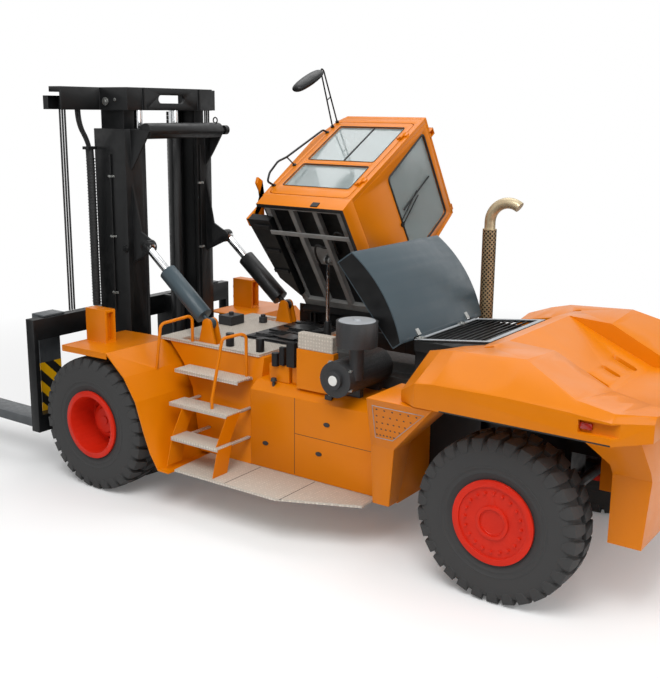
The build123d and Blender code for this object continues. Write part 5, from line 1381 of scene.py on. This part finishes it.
        # Along the hood and up from it: the bulge of its top, then the flank's lower corners
        bulge, inset = self.hood_bulge, self.hood_inset
        arc = [(u, bulge * (1 - ((u - 0.5) / 0.5) ** 2) - inset)
               for u in (inset + (1 - 2 * inset) * k / 20 for k in range(21))]
        # The flanks are thin black sheets over the blue-grey hood: painted shade where its sides lie in shadow.
        flanks = Shape()
        for side in (1.0, -1.0):
            flanks.prism(arc + [(1 - inset, -0.19), (inset, -0.1)], side * 0.8292, side * 0.8312)
        flanks.moved(place).piece("hood_flanks_painted_shade", "hood", Finishes.BLACK)
        strip = Shape().box((-0.0012, -0.4, -0.09), (0.0008, 0.4, -0.03))
        for y in (-0.5, 0.5):
            strip.box((0.02, y - 0.03, 0.006), (0.1, y + 0.03, 0.03))
        strip.moved(place).piece("hood_strip", "hood", Finishes.ZINC, bevel=0.0005)

    def tail(self) -> None:
        """Dark joint between the tail and the counterweight."""
        for side, word in SIDES:
            seam = Shape().box((-5.76, side * 1.648, 1.7), (-4.3, side * 1.651, 1.712))
            seam.piece(f"tail_joint_{word}", "truck", Finishes.HOSE)

    def build(self) -> None:
        """Make everything on the body."""
        for fitting in self.fittings:
            fitting.shape().piece(fitting.name, "truck", fitting.finish, bevel=fitting.bevel)
        for make in (self.tanks, self.steps, self.arches, self.latches, self.bay, self.grille, self.hood, self.tail):
            make()


@dataclass
class CabDress:
    """Seat, seals, wiper, mirror, rail, hoses and sheet edges of the tilted cab."""

    hinge_y: float = -0.83
    hinge_z: float = 1.84
    tilt: float = 57.0
    # Left wall: its y at the floor, run inward and rise
    wall_y: float = 0.8
    wall_lean: tuple = (0.12, 1.75)
    # Line of the mirror and the grab rail, on the wall's front edge
    edge_x: float = -1.165
    # Cushions: share of the half size that the rims lose; place, half width and depth of the sewn channels
    rim_loss: float = 0.10
    channel: tuple = (0.33, 0.1, 0.012)
    # Half the mirror's thickness, width and length
    mirror_half: tuple = (0.055, 0.095, 0.26)

    def turn(self) -> Matrix:
        """Matrix from the closed cab to the tilted one."""
        hinge = Vector((0, self.hinge_y, self.hinge_z))
        return Matrix.Translation(hinge) @ Matrix.Rotation(radians(self.tilt), 4, "X") @ Matrix.Translation(-hinge)

    def keep(self, shape: Shape, name: str, finish: Finish, body: str = "cab", **rest: object) -> Object:
        """Turn a shape of the closed cab with it and keep it as a piece.

        Args:
            shape: The shape, as the closed cab has it.
            name: The piece's name.
            finish: Its finish.
            body: Body it rides on.
            rest: The other arguments of Shape.piece.

        Returns:
            The piece.
        """
        return shape.moved(self.turn()).piece(name, body, finish, **rest)

    def wall(self, x: float, rise: float, out: float) -> Vector:
        """Point on the left wall of the closed cab.

        Args:
            x: Place along the truck.
            rise: Distance up the wall.
            out: Distance out of it.

        Returns:
            The point.
        """
        lean = atan2(*self.wall_lean)
        return Vector((x, self.wall_y - rise * sin(lean) + out * cos(lean),
                       self.hinge_z + rise * cos(lean) + out * sin(lean)))

    def edge(self, rise: float, out: float) -> Vector:
        """Point on the wall's front edge, by the last two arguments of wall."""
        return self.wall(self.edge_x, rise, out)

    def seat(self) -> None:
        """Padded seat cushion and back with sewn channels."""
        post = Shape().box((-1.83, -0.11, 1.885), (-1.61, 0.11, 2.13))
        self.keep(post, "seat_post", Finishes.PLASTIC, bevel=0.01, replaces=["cab_seat"])
        place, width, depth = self.channel
        for name, low, high in (("seat_cushion", (-1.955, -0.245, 2.135), (-1.485, 0.245, 2.28)),
                                ("seat_back", (-2.085, -0.245, 2.2), (-1.965, 0.245, 2.94))):
            shape = Shape().box(low, high)
            bmesh.ops.subdivide_edges(shape.bm, edges=shape.bm.edges, cuts=6, use_grid_fill=True)
            middle = Vector([(a + b) / 2 for a, b in zip(low, high)])
            half = Vector([(b - a) / 2 for a, b in zip(low, high)])
            for v in shape.bm.verts:
                share = Vector([(v.co[i] - middle[i]) / half[i] for i in range(3)])
                for i in range(3):
                    p, q = (abs(share[j]) ** 3 for j in range(3) if j != i)
                    v.co[i] = middle[i] + half[i] * share[i] * (1 - self.rim_loss * p - self.rim_loss * q)
                if abs(abs(share.y) - place) < width:
                    v.co += (middle - v.co).normalized() * depth
            obj = self.keep(shape, name, Finishes.CLOTH, smooth=60)
            soft = obj.modifiers.new("round", "SUBSURF")
            soft.levels = soft.render_levels = 2
            baked(obj)

    def seals(self) -> None:
        """Black rubber seals round the windows, and the rear wiper."""
        shape = Shape()
        for (x0, z0), (x1, z1) in (((-2.155, 0.225), (-1.265, 0.675)), ((-2.155, 0.765), (-1.265, 1.51))):
            loop = [self.wall(x, rise, 0.0) for x, rise in ((x0, z0), (x1, z0), (x1, z1), (x0, z1))]
            shape.pipe(bent(loop[-1:] + loop + loop[:1], 0.03)[1:-1], 0.005, closed=True)
        shape.pipe([self.wall(-1.74, 0.77, -0.02), self.wall(-1.74, 1.505, -0.02)], 0.012)
        self.keep(shape, "door_seals", Finishes.HOSE, body="cab_door")
        loop = [Vector((-2.301, y, z)) for y, z in ((-0.56, 2.57), (0.56, 2.57), (0.56, 3.44), (-0.56, 3.44))]
        back = Shape().pipe(bent(loop[-1:] + loop + loop[:1], 0.05)[1:-1], 0.012, closed=True)
        self.keep(back, "rear_window_seal", Finishes.HOSE)
        pivot = Vector((-2.315, -0.06, 2.56))
        wiper = Shape().rod(pivot, pivot + Vector((0.03, 0, 0)), 0.03)
        # Two arms and the blade: start and end off the pivot, radius
        for start, end, radius in (((0, 0, 0), (-0.005, 0.1, 0.42), 0.008), ((0, 0.06, 0), (-0.005, 0.16, 0.42), 0.006),
                                   ((0.005, 0.13, 0.1), (0.005, 0.13, 0.74), 0.009)):
            wiper.pipe([pivot + Vector(start), pivot + Vector(end)], radius)
        self.keep(wiper, "rear_wiper", Finishes.BLACK)

    def floor(self) -> None:
        """Hoses that loop under the floor, between the crossbars."""
        shape = Shape()
        for x, y, depth in ((-2.02, 0.35, 0.05), (-1.7, 0.15, 0.065), (-1.38, 0.3, 0.05)):
            shape.pipe([(x - 0.12, y, 1.83), (x - 0.1, y + 0.02, 1.83 - depth), (x, y + 0.1, 1.82 - depth),
                        (x + 0.09, y - 0.1, 1.83 - depth), (x + 0.12, y - 0.3, 1.83)], 0.013, smooth=True)
        self.keep(shape, "floor_hoses", Finishes.HOSE)

    def underside_shade(self) -> None:
        """Thin black sheet over the inside of the floor's skirt and the floor's underside: painted shade where these
        faces lie in shadow.
        """
        back = self.turn().inverted()
        # Middle of the floor along the closed cab, and height up to which its skirt counts
        middle, skirt_top = -1.69, 1.85
        bm = bmesh.new()
        bm.from_mesh(frame["nodes"]["cab_floor"].data)
        bmesh.ops.remove_doubles(bm, verts=bm.verts, dist=MERGE)
        # Keep only the faces that point down or inward, where shade falls, for the painted shade.
        spare = []
        for face in bm.faces:
            centre = back @ face.calc_center_median()
            normal = back.to_3x3() @ face.normal
            inward = centre.z < skirt_top and normal.x * (centre.x - middle) + normal.y * centre.y < -0.05
            if not (normal.z < -0.5 or inward):
                spare.append(face)
        bmesh.ops.delete(bm, geom=spare, context="FACES")
        bm.normal_update()
        for vert in bm.verts:
            vert.co += vert.normal * 0.001
        mesh = bpy.data.meshes.new("skirt_painted_shade")
        bm.to_mesh(mesh)
        bm.free()
        obj = rounded("skirt_painted_shade", mesh, 0.0)
        thick = obj.modifiers.new("thick", "SOLIDIFY")
        thick.thickness, thick.offset = 0.0006, 0.0
        baked(obj).data.materials.clear()
        settle(obj, "cab", Finishes.BLACK)

    def mirror(self) -> None:
        """Rounded mirror body on a loop of tube, and the tube's feet."""
        body = Shape()
        thick, wide, tall = self.mirror_half
        bmesh.ops.create_uvsphere(body.bm, u_segments=32, v_segments=20, radius=1.0)
        for v in body.bm.verts:
            x, y, z = v.co
            full = max(hypot(x, y), 1e-6) ** -0.5
            v.co = Vector((x * full * thick, y * full * wide, z * tall))
        head, tail = self.edge(1.56, 0.675), self.edge(1.05, 0.72)
        turn = (head - tail).to_track_quat("Z", "X").to_matrix().to_4x4()
        body.moved(self.turn() @ Matrix.Translation((head + tail) / 2) @ turn)
        body.piece("mirror_body", "cab", Finishes.BLACK, replaces=["cab_mirror"], smooth=60)
        loop = [self.edge(*p) for p in ((1.485, 0.004), (1.575, 0.66), (1.6, 0.7), (1.63, 0.66), (1.595, 0.004))]
        arm = Shape().pipe(bent(loop, 0.025), 0.009)
        arm.pipe([self.edge(1.53, 0.33), self.edge(1.613, 0.33)], 0.007)
        for rise in (1.485, 1.595):
            arm.rod(self.edge(rise, 0.0), self.edge(rise, 0.02), 0.022)
        self.keep(arm, "mirror_arm", Finishes.BLACK)

    def rail(self) -> None:
        """Bent grab rail beside the door, with its stay."""
        route = [self.edge(*p) for p in ((0.2, 0.003), (0.125, 0.1), (0.2, 0.165), (0.39, 0.195), (0.55, 0.155),
                                         (1.3, 0.07), (1.36, 0.003))]
        shape = Shape().pipe(bent(route, 0.03), 0.012)
        shape.pipe([self.edge(0.55, 0.155), self.edge(0.63, 0.003)], 0.008)
        for rise in (0.2, 0.63, 1.36):
            shape.rod(self.edge(rise, 0.0), self.edge(rise, 0.01), 0.024)
        self.keep(shape, "cab_grab_rail", Finishes.BLACK, replaces=["cab_rail"])

    def corner(self) -> None:
        """Stepped corner sheet at the front edge, sill, bar and notch under the floor, and the roof's brackets."""
        # The flap's step keeps it off the left tilt cylinder when the cab is closed
        flap = Shape()
        flap.prism([(0.45, 1.7), (0.563, 1.7), (0.563, 2.045), (0.8, 2.045), (0.842, 2.109), (0.76, 2.15), (0.4, 1.95)],
                   -0.925, -0.885, axis=0)
        self.keep(flap, "cab_corner", Finishes.ORANGE, bevel=0.012)
        under = Shape()
        under.prism([(-1.22, 0.56), (-0.9, 0.56), (-0.93, 0.3), (-1.0, -0.3), (-1.22, -0.56)], 1.7, 1.8, axis=2)
        for y in (0.45, 0.1, -0.2):
            under.box((-1.2, y, 1.68), (-0.99, y + 0.05, 1.701))
        self.keep(under, "cab_front_sill", Finishes.BLACK, bevel=0.006)
        bar = Shape().box((-2.25, 0.39, 1.676), (-1.2, 0.44, 1.694))
        self.keep(bar, "cab_cross_bar", Finishes.STEEL, bevel=0.002)
        # Dark mark on the floor's skirt where the photograph has a cut
        place = self.wall(-1.913, -0.112, 0.0)
        notch = Shape().box((place.x - 0.05, place.y - 0.05, place.z - 0.02),
                            (place.x + 0.04, place.y + 0.002, place.z + 0.05))
        self.keep(notch, "skirt_notch", Finishes.BLACK, bevel=0.003)
        lugs = Shape()
        for y, top in ((0.45, 3.67), (-0.6, 3.612)):
            lugs.box((-2.3, y - 0.04, 3.54), (-2.23, y - 0.028, top))
            lugs.box((-2.3, y + 0.028, 3.54), (-2.23, y + 0.04, top))
            lugs.box((-2.3, y - 0.04, top - 0.015), (-2.23, y + 0.04, top))
        self.keep(lugs, "roof_lugs", Finishes.ORANGE, bevel=0.002)

    def build(self) -> None:
        """Make everything in and on the cab."""
        for make in (self.seat, self.floor, self.underside_shade, self.mirror, self.rail, self.corner, self.seals):
            make()


@dataclass
class Studio:
    """Camera, light and floor."""

    place: tuple = (-8.0856, 8.6037, 4.1489)
    yaw: float = 54.861
    pitch: float = 13.124
    roll: float = 0.010
    focal_px: float = 989.85
    image_height: int = 678
    # Light of the sky on the truck, tone of the floor and its own light near the truck
    sky: float = 0.5
    floor_tone: float = 0.9
    floor_light: float = 0.1
    # Half the side of the floor, and the distances from the truck over which it fades into the white
    floor_half: float = 60.0
    fade: tuple = (5.0, 11.0)
    # Name, place, aim, side and watts of each lamp
    lamps: tuple = (("key", (-6.0, 8.0, 12.0), (-2.0, 0.0, 1.2), 7.0, 1100.0),
                    ("fill", (-14.0, 1.0, 5.0), (-3.0, 0.0, 1.5), 6.0, 350.0),
                    ("top", (0.0, -4.0, 12.0), (-2.0, 0.0, 1.0), 8.0, 400.0))

    def camera(self) -> None:
        """Set the camera where the photograph was taken."""
        yaw, pitch = radians(self.yaw), radians(self.pitch)
        forward = Vector((cos(yaw) * cos(pitch), -sin(yaw) * cos(pitch), -sin(pitch)))
        right = Vector((-sin(yaw), -cos(yaw), 0.0))
        up = right.cross(forward)
        right, up = (right * cos(self.roll) + up * sin(self.roll), up * cos(self.roll) - right * sin(self.roll))
        data = bpy.data.cameras.new("camera")
        data.sensor_fit = "VERTICAL"
        data.sensor_height = 36.0
        data.lens = self.focal_px / self.image_height * data.sensor_height
        data.clip_end = 200.0
        obj = linked("camera", data)
        turn = Matrix((right, up, -forward)).transposed().to_4x4()
        obj.matrix_world = Matrix.Translation(Vector(self.place)) @ turn
        bpy.context.scene.camera = obj

    def world(self) -> None:
        """White to the camera and in reflections, softer on the object."""
        made = bpy.data.worlds.new("sky")
        tree = cleared(made)
        path = add_node(tree, "ShaderNodeLightPath")
        seen = add_node(tree, "ShaderNodeMath", {"operation": "MAXIMUM"},
                        {0: path.outputs["Is Camera Ray"], 1: path.outputs["Is Transmission Ray"]})
        seen = add_node(tree, "ShaderNodeMath", {"operation": "MAXIMUM"},
                        {0: seen.outputs[0], 1: path.outputs["Is Glossy Ray"]})
        strength = add_node(tree, "ShaderNodeMapRange", links={"Value": seen.outputs[0]},
                            values={"To Min": self.sky, "To Max": 1.0})
        back = add_node(tree, "ShaderNodeBackground", values={"Color": (1, 1, 1, 1)},
                        links={"Strength": strength.outputs["Result"]})
        add_node(tree, "ShaderNodeOutputWorld", links={"Surface": back.outputs[0]})
        bpy.context.scene.world = made

    def lamp(self, name: str, place: Point, aim: Point, size: float, power: float) -> None:
        """Add one soft area lamp.

        Args:
            name: Its name.
            place: Where it hangs.
            aim: Point it faces.
            size: Side of its square.
            power: Watts.
        """
        data = bpy.data.lights.new(name, "AREA")
        data.size = size
        data.energy = power
        run = Vector(aim) - Vector(place)
        turn = run.to_track_quat("-Z", "Y").to_matrix().to_4x4()
        linked(name, data).matrix_world = Matrix.Translation(Vector(place)) @ turn

    def floor(self) -> None:
        """Plain pale floor that keeps the truck's shadow."""
        mesh = bpy.data.meshes.new("floor")
        half = self.floor_half
        mesh.from_pydata([(-half, -half, 0), (half, -half, 0), (half, half, 0), (-half, half, 0)], [], [(0, 1, 2, 3)])
        obj = linked("floor", mesh)
        made = bpy.data.materials.new("pale_floor")
        tree = cleared(made)
        place = add_node(tree, "ShaderNodeTexCoord").outputs["Object"]
        reach = add_node(tree, "ShaderNodeVectorMath", {"operation": "DISTANCE"}, {0: place}, {1: (-2.0, 0.0, 0.0)})
        far = add_node(tree, "ShaderNodeMapRange", links={"Value": reach.outputs["Value"]},
                       values={"From Min": self.fade[0], "From Max": self.fade[1]})
        path = add_node(tree, "ShaderNodeLightPath")
        matt = add_node(tree, "ShaderNodeBsdfDiffuse", values={"Color": (*[self.floor_tone] * 3, 1.0)})
        glow = add_node(tree, "ShaderNodeEmission", values={"Color": (1, 1, 1, 1)},
                        links={"Strength": path.outputs["Is Camera Ray"]})
        near = add_node(tree, "ShaderNodeEmission", values={"Color": (*[self.floor_light] * 3, 1)},
                        links={"Strength": path.outputs["Is Camera Ray"]})
        both = add_node(tree, "ShaderNodeAddShader", links={0: matt.outputs[0], 1: near.outputs[0]})
        fade = add_node(tree, "ShaderNodeMixShader", links={0: far.outputs["Result"], 1: both.outputs[0],
                                                            2: glow.outputs[0]})
        add_node(tree, "ShaderNodeOutputMaterial", links={"Surface": fade.outputs[0]})
        mesh.materials.append(made)

    def build(self) -> None:
        """Set up the whole studio."""
        bpy.context.scene.view_settings.view_transform = "Standard"
        self.camera()
        self.world()
        for lamp in self.lamps:
            self.lamp(*lamp)
        self.floor()


def main() -> None:
    """Build the studio and every sub-assembly in order."""
    logging.basicConfig(level=logging.INFO, format="%(message)s")
    Studio().build()
    for part in (SolidSkins(), Tyres(), Wheels(), MastDress(), ForkDress(), BodyDress(), CabDress()):
        part.build()
        log.info("%s built", type(part).__name__)


if __name__ == "__main__":
    main()
